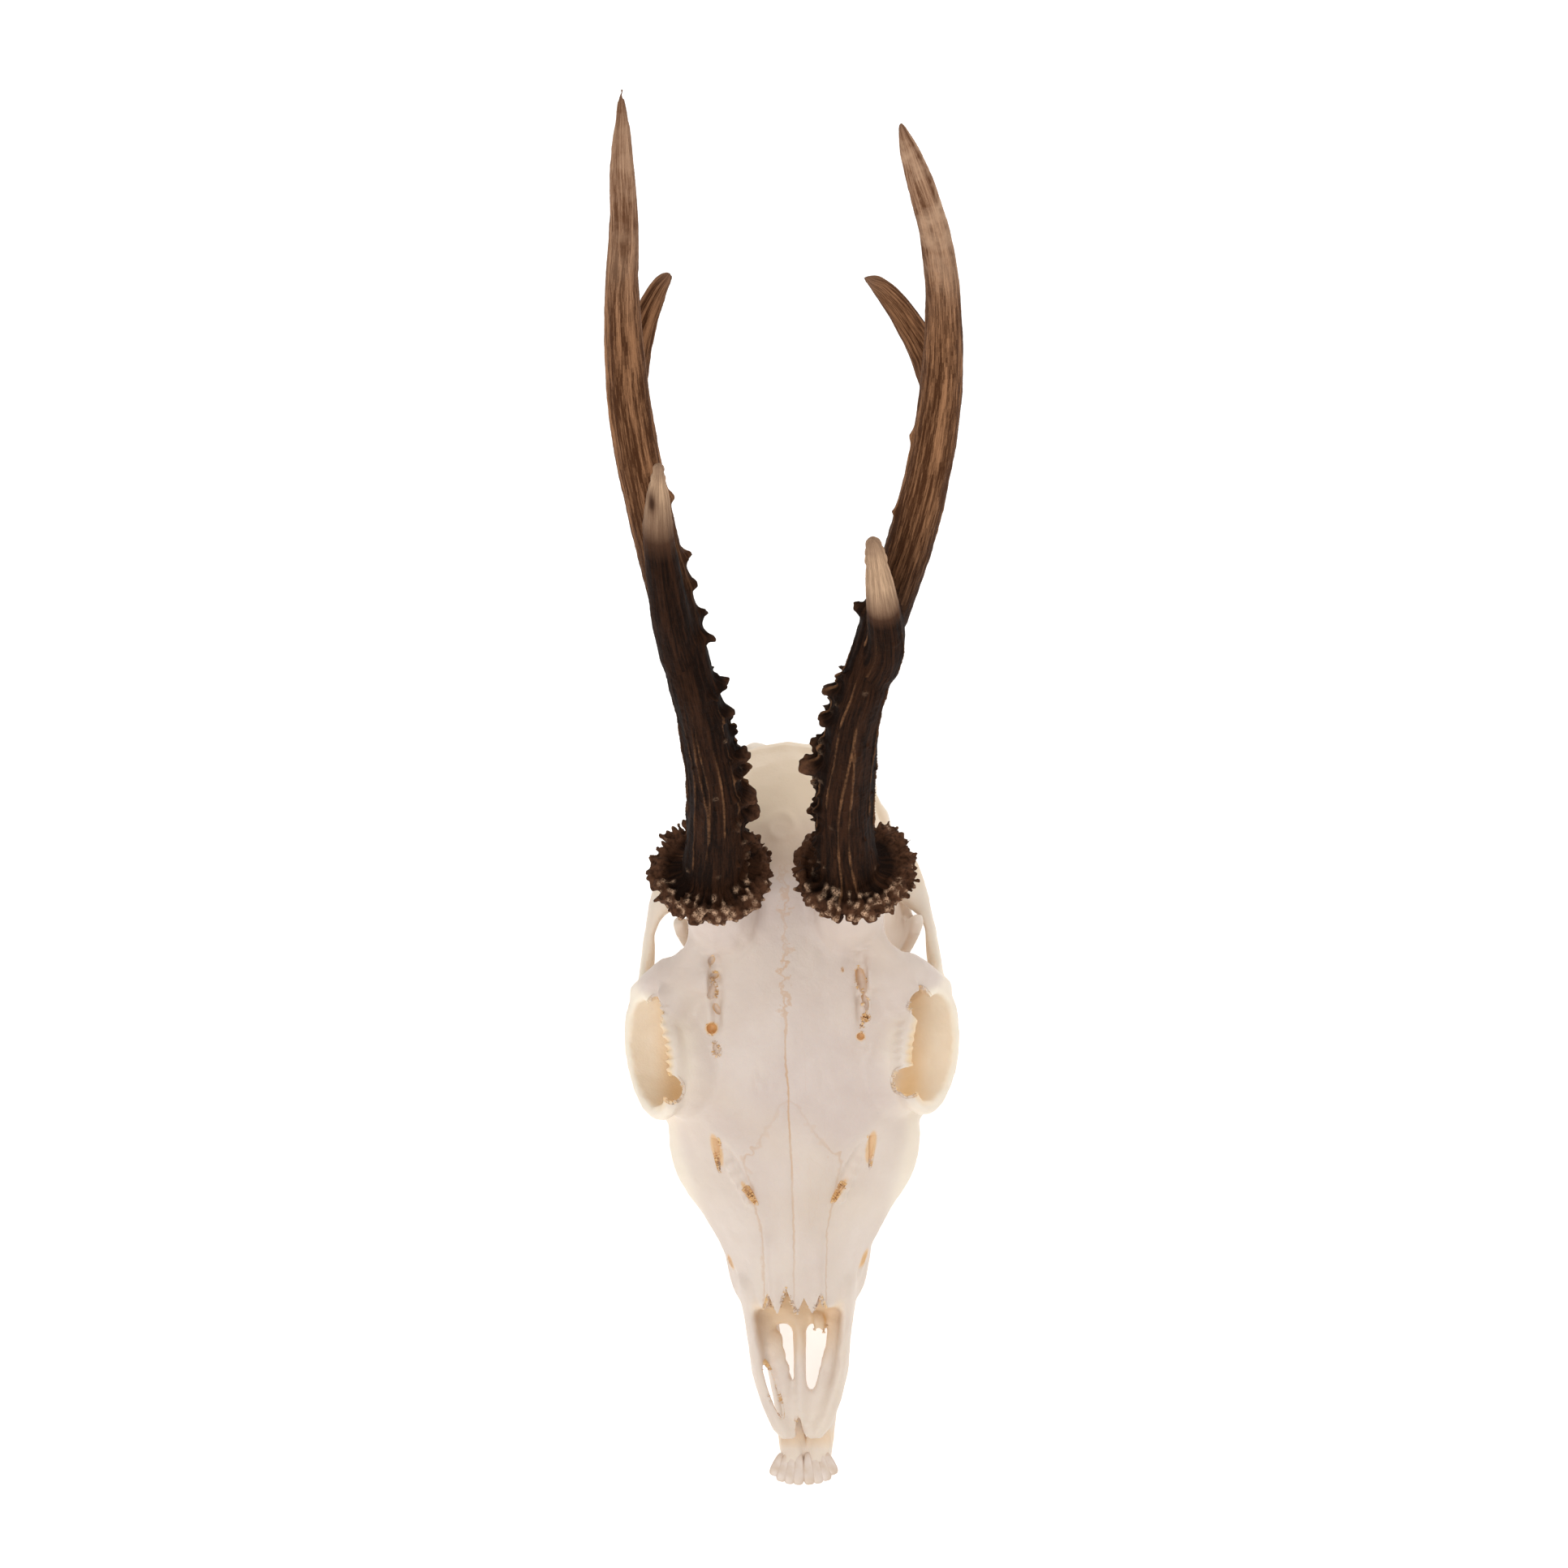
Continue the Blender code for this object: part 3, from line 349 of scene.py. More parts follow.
LUMPS = (  # x, s, h, half sizes across, along and up, turn about the upright
    (-30.4, 121.8, 56.2, 5.6, 3.8, 2.3, 0), (30.2, 121.8, 56.2, 5.6, 3.8, 2.3, 0),
    (-30.6, 118.6, 56.0, 4.6, 2.8, 2.0, 10), (30.2, 118.6, 56.0, 4.6, 2.8, 2.0, -10),
    (-3.9, 4.4, 6.9, 3.0, 4.4, 1.9, 14), (3.3, 4.4, 6.9, 3.0, 4.3, 1.9, -14),
    (5.6, 33.4, 14.0, 1.9, 2.6, 0.9, 20), (4.5, 31.4, 13.6, 0.7, 1.5, 0.6, -15),
    (6.7, 31.0, 13.6, 0.7, 1.4, 0.6, 15),
    (-5.3, 38.8, 31.7, 1.3, 4.0, 1.0, 2), (-0.4, 38.6, 32.3, 1.4, 4.0, 1.1, 0),
    (4.3, 38.8, 31.7, 1.3, 3.9, 1.0, -2),
)
PALATE_BAR = ((-7.4, 27.4, 11.0, 3.2), (-6.5, 23.6, 10.4, 2.9), (-5.4, 19.8, 9.8, 2.6),
              (-4.6, 16.0, 9.2, 2.2), (-4.2, 12.4, 8.6, 1.8), (-4.2, 8.6, 8.0, 1.5))
CHEEK_PLATES = ((-18.3, 79.6, 38.6), (-17.0, 76.6, 38.4), (-15.5, 73.4, 38.2), (-13.9, 70.2, 38.2),
                (-12.4, 67.2, 38.0))

cranium = remeshed(copied(CRANIUM_BONES, "cranium"), COARSE_VOXEL)
smoothed(cranium, 20)
base = surface_tree(cranium)
opened(cranium)
for x, s, h, across, along, up, turn in LUMPS:
    bead(at_rest(x, s, h), (across, along, up), skull_turn(turn), 3)
for x, s, h, size in PALATE_BAR:
    bead(at_rest(x, s, h), (size, size * 1.3, 1.5), skull_turn(), 3)
for sign in (1, -1):
    for x, s, h in CHEEK_PLATES:
        bead(at_rest(-x * sign, s, h), (2.3, 2.3, 1.5), skull_turn(), 3)
    for s in np.arange(106.5, 134, 2.2):
        beside = [height_at(base, sign * x, s) for x in (15.6, 24.0)]
        deep = 3.3 + 0.8 * math.sin(1.9 * s) if 109 < s < 131 else 1.8
        bead(at_rest(sign * (19.9 + 0.5 * math.sin(s)), s, 0.55 * beside[0] + 0.45 * beside[1] - deep),
             (2.7, 1.6 + 0.3 * math.cos(3 * s), 1.5), skull_turn(), 3)
closed()
remeshed(cranium, CRANIUM_VOXEL)
smoothed(cranium, 5)
write(cranium, read(cranium) - normals_of(cranium) * (SWELL - 0.05 * MM))


def relaxed(piece, share, rounds):
    """Levels one region by plain averaging; share is 1 where it should act."""
    co, pairs = read(piece), edges_of(piece)
    for _ in range(rounds):
        co += 0.6 * share[:, None] * (averaged(co, pairs) - co)
    write(piece, co)


x, s, h = along_skull(read(cranium))
cheek_end = hump(s, 38, 6, 4) * (np.abs(x) > 12) * (h < 27)
over_eye = hump(np.hypot(np.abs(x) - 29.5, s - 119.5), 0, 5.5, 4) * (h > 50)
relaxed(cranium, np.maximum(cheek_end, over_eye), 60)
co = read(cranium)
x, s, h = along_skull(co)
condyle = hump(np.abs(x), 8, 6) * hump(h, 20, 10) * (s > 185)
write(cranium, co - turned(0 * x, 2.4 * condyle, 0 * x) * MM)
print("cranium skin:", len(cranium.data.vertices), "points")

# %% [markdown]
# Holes, slits and notches are cut with one tool made of many small forms: cavities in the groove of the
# brow, the slits beside the nose, the gaps between the points of the nasal bones, and the window at the
# front of the palate. Each form is set to its depth below the skin where it stands.

# %% Holes, slits and notches
PITS = (  # x, s, half sizes across and along, depth, turn about the upright, stain
    (-20.5, 130.4, 1.3, 1.6, 1.4, 0, 0.0), (-20.0, 126.6, 1.5, 1.1, 1.1, 20, 0.0),
    (-20.6, 121.8, 1.3, 2.9, 1.5, -8, 0.1), (-19.4, 117.8, 0.9, 1.7, 1.2, 25, 0.0),
    (-20.9, 112.6, 1.5, 1.5, 2.6, 0, 1.0), (-19.8, 106.6, 0.9, 2.2, 0.9, 12, 0.2),
    (19.7, 124.4, 1.3, 5.6, 1.8, 9, 0.2), (20.6, 119.2, 1.0, 3.0, 1.4, 9, 0.1),
    (20.7, 114.7, 0.9, 0.7, 1.9, 0, 0.8), (19.2, 109.6, 1.1, 1.0, 1.8, 0, 0.8),
    (19.5, 112.6, 0.45, 0.4, 0.8, 0, 0.5), (14.8, 127.2, 0.4, 0.75, 0.8, 10, 0.4),
)
SLITS = (  # x, s of the point, length, half width at the open end, turn: gold wedges beside the nose
    (-20.0, 73.4, 10.6, 1.25, 187), (20.4, 73.4, 10.6, 1.15, 173),
    (-10.1, 65.4, 5.8, 0.7, 214), (10.3, 65.6, 5.8, 0.7, 146),
)
SLIT_DEPTH = 0.55  # of a slit's half width at its open end
CUTS = (  # x, s, h, half sizes, turn about the upright, stain
    (31.6, 97.7, 51.5, 4.2, 4.4, 8.5, 0, 0.0), (-32.0, 97.2, 51.0, 3.2, 4.2, 8.0, 0, 0.0),
    (35.0, 117.8, 50.0, 4.0, 5.6, 9.0, 12, 0.0), (-36.0, 117.4, 49.0, 3.4, 5.0, 8.5, -12, 0.0),
    (-8.0, 14.7, 7.0, 1.35, 8.9, 12, 17, 0.0), (-0.7, 3.0, 7.0, 1.0, 3.8, 5.0, 0, 0.2),
    (18.7, 47.6, 19.6, 1.5, 4.6, 2.2, -10, 0.9), (-18.6, 48.6, 19.2, 1.0, 3.0, 1.8, 10, 0.7),
)
NOTCHES = (  # x, s of the point, length, half width at the open end
    (-2.8, 42.4, 8.0, 2.9), (2.0, 39.8, 6.0, 2.9), (-7.6, 40.6, 7.0, 3.0), (6.3, 40.6, 7.0, 2.8),
)
NOTCH_H = 32.0
NOTCH_DEPTH = 12
TOOL_VOXEL = 0.2 * MM
TRIANGLE_LONG, TRIANGLE_HALF = 1.5, 0.866  # of a triangle with its corners on a circle of radius 1

tree = surface_tree(cranium)
holes = []  # place, half sizes, turn and stain of every rounded hole
for x, s, across, along, deep, turn, stain in PITS:
    holes.append((at_rest(x, s, height_at(tree, x, s) + 0.2), (across, along, deep), turn, stain))
for x, s, h, across, along, up, turn, stain in CUTS:
    holes.append((at_rest(x, s, h), (across, along, up), turn, stain))


def behind(x, s, far, turn):
    """The x and s that lie so far behind the point of a wedge that is turned so many degrees."""
    return x + far * math.sin(math.radians(turn)), s - far * math.cos(math.radians(turn))


def wedge(x, s, h, length, half, deep, turn=0, tilt=0.0):
    """Adds a prism on three corners. Its point is at x and s, to the back, or to where it is turned."""
    middle = at_rest(*behind(x, s, length / TRIANGLE_LONG, turn), h)
    bpy.ops.mesh.primitive_cylinder_add(
        vertices=3, radius=MM, depth=MM, rotation=skull_turn(turn, tilt), location=middle,
        scale=(half / TRIANGLE_HALF, length / TRIANGLE_LONG, deep))
    return middle


tool = bpy.data.objects.new("tool", bpy.data.meshes.new("tool"))
bpy.context.collection.objects.link(tool)
opened(tool)
for place, half, turn, stain in holes:
    bead(place, half, skull_turn(turn), 3)
for x, s, length, half in NOTCHES:
    wedge(x, s, NOTCH_H, length, half, NOTCH_DEPTH)
for x, s, length, half, turn in SLITS:  # these lie in the slope of the bone
    at_point, at_middle, at_open = (
        height_at(tree, *behind(x, s, far * length, turn)) for far in (0, 1 / TRIANGLE_LONG, 1))
    tilt = math.degrees(math.atan2(at_point - at_open, length))
    middle = wedge(x, s, at_middle, length, half, 2 * SLIT_DEPTH * half, turn, tilt)
    holes.append((middle, (1.1 * half, 0.56 * length, 2.5), turn, 0.8))
closed()
remeshed(tool, TOOL_VOXEL)
modified(cranium, "BOOLEAN", operation="DIFFERENCE", solver="MANIFOLD", object=tool)
bpy.data.objects.remove(tool)
modified(cranium, "TRIANGULATE", quad_method="SHORTEST_DIAGONAL")
print("cranium after cutting:", len(cranium.data.polygons), "faces")

# %% [markdown]
# A deer's cranium is many bones that meet in sutures: toothed seams, tight as a dovetail. Each point of
# the fine skin belongs to the solid bone that is nearest. Asking at a slightly shaken place makes the
# border between two bones wander to and fro, as a suture does.

# %% Which bone is where
STRAY_ROUNDS = 8


def bone_finder(names):
    """A search tree over the triangles of several CAD nodes, and the node of each triangle."""
    points, faces, owner = [], [], []
    for number, name in enumerate(names):
        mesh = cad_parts[name].data
        start = len(points)
        points += [v.co.copy() for v in mesh.vertices]
        faces += [[start + i for i in p.vertices] for p in mesh.polygons]
        owner += [number] * len(mesh.polygons)
    return BVHTree.FromPolygons(points, faces), np.array(owner)


def sway(s):
    """How far the seam down the middle swings to one side, in mm."""
    return 0.6 + 0.35 * np.sin(s / 14)


def shaken(co):
    """The point at which the nearest bone is asked for: a little to the side, one way and another."""
    x, s, h = along_skull(co)
    middle = hump(x, 0, 9) * hump(s, 137, 21, 4)
    root = hump(s, 82, 9, 4)
    out = co.copy()
    coarse = cloudy(co, 2.4 * MM, 4)
    fine = cloudy(co, 1.2 * MM, 3)
    out[:, 0] += ((0.1 + 3.4 * middle) * coarse + (0.03 + 2.2 * middle) * fine) * MM
    out[:, 1] += (0.1 + 1.3 * root + 0.8 * middle) * (cloudy(co, 1.6 * MM, 5) + 0.6 * fine) * MM
    out[:, 0] += sway(s) * MM
    return out


def nearest_bone(co, names):
    tree, owner = bone_finder(names)
    return np.array([owner[tree.find_nearest(Vector(p))[2]] for p in co])


def majority(labels, pairs, kinds, rounds):
    """Takes single stray points over to the bone around them."""
    for _ in range(rounds):
        votes = [np.bincount(pairs[:, 0], labels[pairs[:, 1]] == k, len(labels))
                 + np.bincount(pairs[:, 1], labels[pairs[:, 0]] == k, len(labels))
                 + 1.5 * (labels == k) for k in range(kinds)]
        labels = np.argmax(votes, axis=0)
    return labels


cranium_pairs = edges_of(cranium)
bone_of = nearest_bone(shaken(read(cranium)), CRANIUM_BONES)
bone_of = majority(bone_of, cranium_pairs, len(CRANIUM_BONES), STRAY_ROUNDS)
print("points per bone:", dict(zip(CRANIUM_BONES, np.bincount(bone_of).tolist())))

# %% [markdown]
# A suture shows as a hairline, a little darker than the bone. It is straight down the nose and toothed on
# the brow. Every point gets a number that is 0 on a seam and grows to both sides. The skin sinks a little
# where it is near 0, and the material draws the line there and shakes it into teeth.

# %% Sutures and small relief


def seam_points(labels, pairs, co):
    across = labels[pairs[:, 0]] != labels[pairs[:, 1]]
    return (co[pairs[across, 0]] + co[pairs[across, 1]]) / 2


def distance_to(points, marks):
    tree = kdtree.KDTree(len(marks))
    for i, mark in enumerate(marks):
        tree.insert(mark, i)
    tree.balance()
    return np.array([tree.find(p)[2] for p in points])


def between(co, near, first, second):
    """How much nearer each point lies to the second group of bones, in mm: zero on their seam."""
    out = np.full(len(co), 9.0)
    trees = [bone_finder(group)[0] for group in (first, second)]
    for i in np.flatnonzero(near):
        place = Vector(co[i])
        out[i] = (trees[0].find_nearest(place)[3] - trees[1].find_nearest(place)[3]) / 2 / MM
    return out


co = read(cranium)
x, s, h = along_skull(co)
seam = distance_to(co, seam_points(bone_of, cranium_pairs, co)) / MM
on_top = (seam < 5) & (h > 24)
drift = turned(sway(s) + 0.25 * cloudy(co, 9 * MM, 36), 0 * s, 0 * s) * MM
halves = [[f"{bone}_{side}" for bone in FACE] for side in SIDES]
middle = between(co + drift, on_top & (np.abs(x) < 9), *halves)
nose = between(shaken(co), on_top & (np.abs(x) < 20) & (s < 105),
               ["nasal_left", "nasal_right"],
               [f"{bone}_{side}" for bone in FACE if bone != "nasal" for side in SIDES])
toothed_part = 1 / (1 + np.exp(-(s - 115) / 2))  # 0 on the nose and 1 on the brow
clear = np.interp(s, (30, 60, 85, 108, 116), (0.35, 0.4, 0.75, 0.7, 0.5))
clear *= 0.85 + 0.35 * cloudy(co, 5 * MM, 37)
outer_corner = hump(s, 80, 5) * hump(np.abs(x), 14, 5)
keep(cranium, middle_seam=middle, nose_seam=nose,
     middle_shown=np.clip(clear * np.clip((157 - s) / 8, 0, 1), 0, 1),
     middle_width=0.27 + 0.3 * toothed_part, middle_wander=0.5 + 4.2 * toothed_part,
     nose_shown=np.clip(np.interp(s, (64, 74), (0.36, 0.14)) + 0.25 * outer_corner, 0, 1))
relief = -0.16 * hump(middle, 0, 0.45) * (1 - toothed_part) - 0.12 * hump(nose, 0, 0.4)
relief += 0.10 * cloudy(co, 3.2 * MM, 31) + 0.05 * cloudy(co, 1.1 * MM, 32)
stretched = np.stack([x, s / 5, h / 5], 1)
relief += 0.55 * hump(s, 138, 9) * hump(np.abs(x), 17, 9) * cloudy(stretched, 2.4, 33)
for sign in (1, -1):
    relief += -0.5 * hump(x, sign * 9, 2.2) * hump(s, 97, 3.5) * cloudy(stretched, 1.2, 34)
relief += 0.45 * hump(np.hypot(x + 0.6, s - 165.6), 3.4, 1.1) * (h > 60)  # a ring on the skull's roof
write(cranium, co + normals_of(cranium) * (relief * MM)[:, None])

# %% [markdown]
# The roof of each eye socket ends in small spurs, like the edge of a coarse saw, with a few longer ones.
# They could be separate cones, but the edge is one thin plate, so its points are pushed out in a wave
# whose size changes along the edge.

# %% Serrated edge over the eye
RIM_SPURS = {-1: (98.0, 119.0, 33.0), 1: (95.0, 118.0, 31.0)}
co = read(cranium)
x, s, h = along_skull(co)
for sign, (start, end, rim_x) in RIM_SPURS.items():
    near = hump(x * sign, rim_x, 2.2) * (h > 46) * (s > start - 2) * (s < end)
    teeth = np.clip(np.sin(s * 2 * math.pi / 2.4 + 0.8 * np.sin(s / 2.1)) - 0.1, -0.6, 1)
    push = near * teeth * (0.55 + 0.4 * cloudy(co, 2.8 * MM, 35))
    co += turned(push * sign, 0.25 * push, 0 * push) * MM
write(cranium, co)

# %% [markdown]
# ## Cheek teeth
# A deer grinds with tall ridged teeth. Seen from the side, each molar is two rounded pillars with a fold
# between them, and each premolar is one. The solid rows of blocks get their folds here, with a brown
# stain where one tooth meets the next.

# %% Cheek teeth
UPPER_TEETH = (7.6, 8.6, 9.2, 11.2, 12.0, 12.0)
LOWER_TEETH = (6.8, 8.0, 8.8, 11.0, 11.8, 13.6)
UPPER_START = 54.0
LOWER_START = 52.0
PREMOLARS = 3


def folds(s, lengths, start):
    """From 0 in a fold between two pillars of the row to 1 on a pillar, and 1 where tooth meets tooth."""
    pillar = np.zeros(len(s))
    meeting = np.zeros(len(s))
    for number, length in enumerate(lengths):
        count = 1 if number < PREMOLARS else 2
        inside = (s >= start) & (s < start + length)
        part = (s - start) / length
        pillar[inside] = np.abs(np.sin(math.pi * count * part[inside])) ** 0.6
        meeting[inside] = hump(np.minimum(part, 1 - part)[inside] * length, 0, 0.7)
        start += length
    return pillar, meeting


def toothed(piece, lengths, start, inside):
    """Carves the folds of one kind of row into the points that are inside it."""
    co = read(piece)
    x, s, h = along_skull(co)
    normals = normals_of(piece)
    pillar, meeting = folds(s, lengths, start)
    row = inside(x, s, h) * (s > start) * (s < start + sum(lengths))
    side_on = np.abs(normals[:, 0]).clip(0, 1)
    co += normals * (row * side_on * (0.55 * pillar - 0.45 - 0.5 * meeting))[:, None] * MM
    write(piece, co)
    return row, row * np.clip(meeting + 0.6 * (1 - pillar), 0, 1)


def upper_row(x, s, h):
    return 1 / (1 + np.exp((h - 6.0) * 2)) * (np.abs(x) > 11) * (np.abs(x) < 29)


crown, gap = toothed(cranium, UPPER_TEETH, UPPER_START, upper_row)
keep(cranium, crown=crown, gap=gap)

# %% [markdown]
# Shade in the hollows is painted into the bone's colour, from cream to honey gold. A few short rays from
# each point show how deep it lies among its surroundings. The inside of the nose, the braincase roof
# between the antlers and the inner walls of the eye sockets get painted shade too. The cheek arches are
# creamier all over, and the eye sockets are painted lighter all over, as painted light.

# %% Painted shade in hollows, and stains
HOLLOW_REACH = 14 * MM
EYE = (37.4, 107.0, 41.8)
CREAM = {"zygomatic": 0.75, "braincase": 0.55, "maxilla": 0.18, "premaxilla": 0.22,
         "frontal": 0.0, "nasal": 0.05}


def sheltered(piece, count=14):
    """The share of short rays from each point that meet the piece's own surface."""
    rng = np.random.default_rng(8)
    rays = rng.normal(size=(count, 3))
    rays /= np.linalg.norm(rays, axis=1)[:, None]
    tree = surface_tree(piece)
    co, normals = read(piece), normals_of(piece)
    out = np.zeros(len(co))
    for i, (place, normal) in enumerate(zip(co, normals)):
        start = Vector(place + normal * 0.3 * MM)
        out[i] = sum(tree.ray_cast(start, Vector(ray + normal * 1.15), HOLLOW_REACH)[0] is not None
                     for ray in rays)
    return out / count


def stain_of(co):
    """1 on the wall of a hole, falling to 0 just outside it."""
    out = np.zeros(len(co))
    for place, half, turn, stain in holes:
        local = (co - place) @ np.array(skull_turn(turn).to_matrix()) / MM / np.array(half)
        away = np.linalg.norm(local, axis=1)
        out = np.maximum(out, stain / (1 + np.exp((away - 1.12) * 22)))
    return out


co = read(cranium)
x, s, h = along_skull(co)
cream = np.array([CREAM[name.split("_")[0]] for name in CRANIUM_BONES])[bone_of]
for _ in range(40):
    cream = averaged(cream, cranium_pairs)
from_eye = np.sqrt((np.abs(x) - EYE[0]) ** 2 + (s - EYE[1]) ** 2 + (h - EYE[2]) ** 2)
# the eye sockets are painted: their bowls lighter through cream (painted light), their inner walls gold
# (painted shade)
in_eye = 1 / (1 + np.exp((from_eye - 17.0) * 1.5))
inner_wall = hump(np.abs(x), 31, 5.5)
# painted shade: gold inside the nose, under the nasal bones
nose_shade = hump(x, 0, 13.5, 6) * hump(s, 42, 23) * np.clip((30 - h) / 5, 0, 1) * (h > 5)
# painted shade: warm gold on the braincase roof, where the antlers shade it
antler_shade = 0.5 / (1 + np.exp((149 - s) / 3)) * (h > 30)  # the roof of the braincase is warmer too
# painted shade: honey gold where short rays meet the bone, so recesses look shaded
hollow = sheltered(cranium) * (1 - in_eye) + in_eye * (0.25 + 0.65 * inner_wall)
keep(cranium, hollow=np.maximum.reduce([hollow, 0.72 * nose_shade, antler_shade]),
     stain=stain_of(co), cream=np.maximum(cream, in_eye))

# %% [markdown]
# An old skull comes apart at its sutures first, so each bone becomes a piece of its own here. The
# skin is cut where the nearest bone changes, and each part gets a thin wall. Solid bones would cost many
# hidden faces inside the head, and open sheets would leave raw edges. The braincase is large, so the
# smooth parts of its skin are thinned first. Its borders keep their points and still meet the other bones.

# %% Separate bones
WALL = 0.6 * MM
MOST_FACES = 90000  # of a bone's skin, because its wall doubles them
BOX_ROOM = 0.01 * MM


def finished(piece, nodes, material):
    """Keeps a piece inside the solid model's box, and gives it its material and its place in the table."""
    low, high = np.array(cad_box[0]) + BOX_ROOM, np.array(cad_box[1]) - BOX_ROOM
    write(piece, np.clip(read(piece), low, high))
    piece.data.materials.clear()
    piece.data.materials.append(material)
    only(piece)
    bpy.ops.object.shade_smooth_by_angle(angle=math.radians(60))
    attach(piece, "root")
    if nodes:
        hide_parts(*nodes)


def faces_of(piece):
    corners = np.empty(len(piece.data.loops), int)
    piece.data.loops.foreach_get("vertex_index", corners)
    return corners.reshape(-1, 3)


def split_by_bone(piece, labels, names):
    """Cuts the skin along the seams and gives each bone a wall with a closed rim."""
    corners = np.sort(labels[faces_of(piece)], axis=1)
    piece.data.materials.clear()
    for name in names:
        piece.data.materials.append(bpy.data.materials.new(name))
    piece.data.polygons.foreach_set("material_index", corners[:, 1].astype(np.int32))
    only(piece)
    bpy.ops.object.mode_set(mode="EDIT")
    bpy.ops.mesh.select_all(action="SELECT")
    bpy.ops.mesh.separate(type="MATERIAL")
    bpy.ops.object.mode_set(mode="OBJECT")
    bones = {}
    for bone in list(bpy.context.selected_objects):
        if len(bone.data.polygons) > MOST_FACES:
            modified(bone, "DECIMATE", ratio=MOST_FACES / len(bone.data.polygons))
        bones[bone.material_slots[0].material.name] = modified(bone, "SOLIDIFY", thickness=WALL, offset=-1)
    for name in names:
        bpy.data.materials.remove(bpy.data.materials[name])
    return bones


# %% [markdown]
# Cleaned bone is mineral with some collagen left. It is boiled, freed of fat and bleached with peroxide,
# which leaves it matt, a little see-through at thin edges and pinkish white where it is dense. Shade in
# its hollows is painted in honey gold, and the eye sockets are painted lighter. One material does all of
# it. Colours lie over one another like washes, and each wash shows where a number stored on the points is
# high.

# %% Bone material


def washed(material, tint, washes):
    """Lays colours over a tint. A wash has its source, the values at which it starts and shows in full,
    its strength and its colour. A source or a strength can be the name of a stored number."""
    for source, low, high, strength, colour in washes:
        source, strength = (add(material, "ShaderNodeAttribute", {}, "Fac", attribute_name=part)
                            if isinstance(part, str) else part for part in (source, strength))
        share = add(material, "ShaderNodeMapRange", {
            "Value": source, "From Min": low, "From Max": high, "To Min": 0.0, "To Max": strength})
        tint = add(material, "ShaderNodeMix", {0: share, 6: tint, 7: linear(colour)}, 2, data_type="RGBA")
    return tint


# Bone, boiled and bleached. Blotches are 15 to 40 mm across, pores about 0.7 mm. Real pores are finer
# than that and wouldn't show from this distance.
bone = new_material("bone_boiled_and_bleached")
here = add(bone, "ShaderNodeTexCoord", {}, "Object")
blotches, patches, pores, dents, loops = (
    add(bone, "ShaderNodeTexNoise", {"Vector": here, "Scale": scale, "Detail": detail}, "Fac")
    for scale, detail in ((60, 4), (25, 3), (1400, 3), (260, 5), (520, 2)))
swing = add(bone, "ShaderNodeMath", {0: loops, 1: 0.5}, operation="SUBTRACT")
seam_lines = []
for field, wander, width in (("middle_seam", "middle_wander", "middle_width"), ("nose_seam", 0.8, 0.3)):
    field, wander, width = (add(bone, "ShaderNodeAttribute", {}, "Fac", attribute_name=part)
                            if isinstance(part, str) else part for part in (field, wander, width))
    line = add(bone, "ShaderNodeMath", {0: swing, 1: wander, 2: field}, operation="MULTIPLY_ADD")
    line = add(bone, "ShaderNodeMath", {0: line}, operation="ABSOLUTE")
    seam_lines.append(add(bone, "ShaderNodeMath", {0: line, 1: width}, operation="DIVIDE"))
tint = washed(bone, linear("#DFCFC5"), (
    (blotches, 0.35, 0.7, 1.0, "#D5C3B9"), (patches, 0.45, 0.75, 0.4, "#E3CFB4"),
    # cream is the bone's own cream tone plus painted light in the eye sockets; the gold wash after it is
    # painted shade
    ("cream", 0.0, 1.0, 1.0, "#FFF1DC"), ("hollow", 0.3, 0.9, 1.0, "#F0C78C"),
    (seam_lines[0], 1.0, 0.35, "middle_shown", "#CFA070"),
    (seam_lines[1], 1.0, 0.35, "nose_shown", "#CFA070"),
    ("stain", 0.0, 1.0, 1.0, "#E6B87E"), ("crown", 0.0, 1.0, 0.7, "#EDE3D2"),
    ("gap", 0.0, 1.0, 0.85, "#6B4A2C")))
height = add(bone, "ShaderNodeMath", {0: pores, 1: dents}, operation="ADD")
bumps = add(bone, "ShaderNodeBump", {"Strength": 0.25, "Distance": 0.0003, "Height": height})
surface = add(bone, "ShaderNodeBsdfPrincipled", {
    "Base Color": tint, "Roughness": 0.5, "IOR": 1.55, "Normal": bumps,
    "Subsurface Weight": 0.08, "Subsurface Radius": (0.004, 0.0025, 0.0015), "Subsurface Scale": 0.3})
add(bone, "ShaderNodeOutputMaterial", {"Surface": surface})

for name, piece in split_by_bone(cranium, bone_of, CRANIUM_BONES).items():
    piece.name = name + "_bone"
    finished(piece, [name], bone)
    print(piece.name, len(piece.data.polygons), "faces")

# %% [markdown]
# ## The lower jaw
# Its two halves meet at the chin and never quite fuse in a deer. Each half is a copy of its solid node.
# The front end is cut off with a bisect and built up again from rounded lumps, because that is where the
# sockets of the front teeth make the bone broad and thin.

# %% Lower jaw
JAW_VOXEL = 0.6 * MM
JAW_SHIFT = 1.0
JAW_CUT = -6.4  # s where the solid's front end is cut off
CHIN = (  # bone that holds the roots of the front teeth: x, s, h, half sizes
    (2.3, -3.6, 0.9, (2.2, 4.2, 1.7)), (5.0, -2.6, 0.9, (2.4, 4.4, 1.7)), (3.6, 1.8, 0.2, (3.4, 4.5, 2.0)),
    (1.2, 1.0, 0.4, (1.3, 7.5, 2.0)))


def lower_row(x, s, h):
    return 1 / (1 + np.exp((-5.2 - h) * 2)) * (s < 113) * (np.abs(x) > 8) * (np.abs(x) < 24)


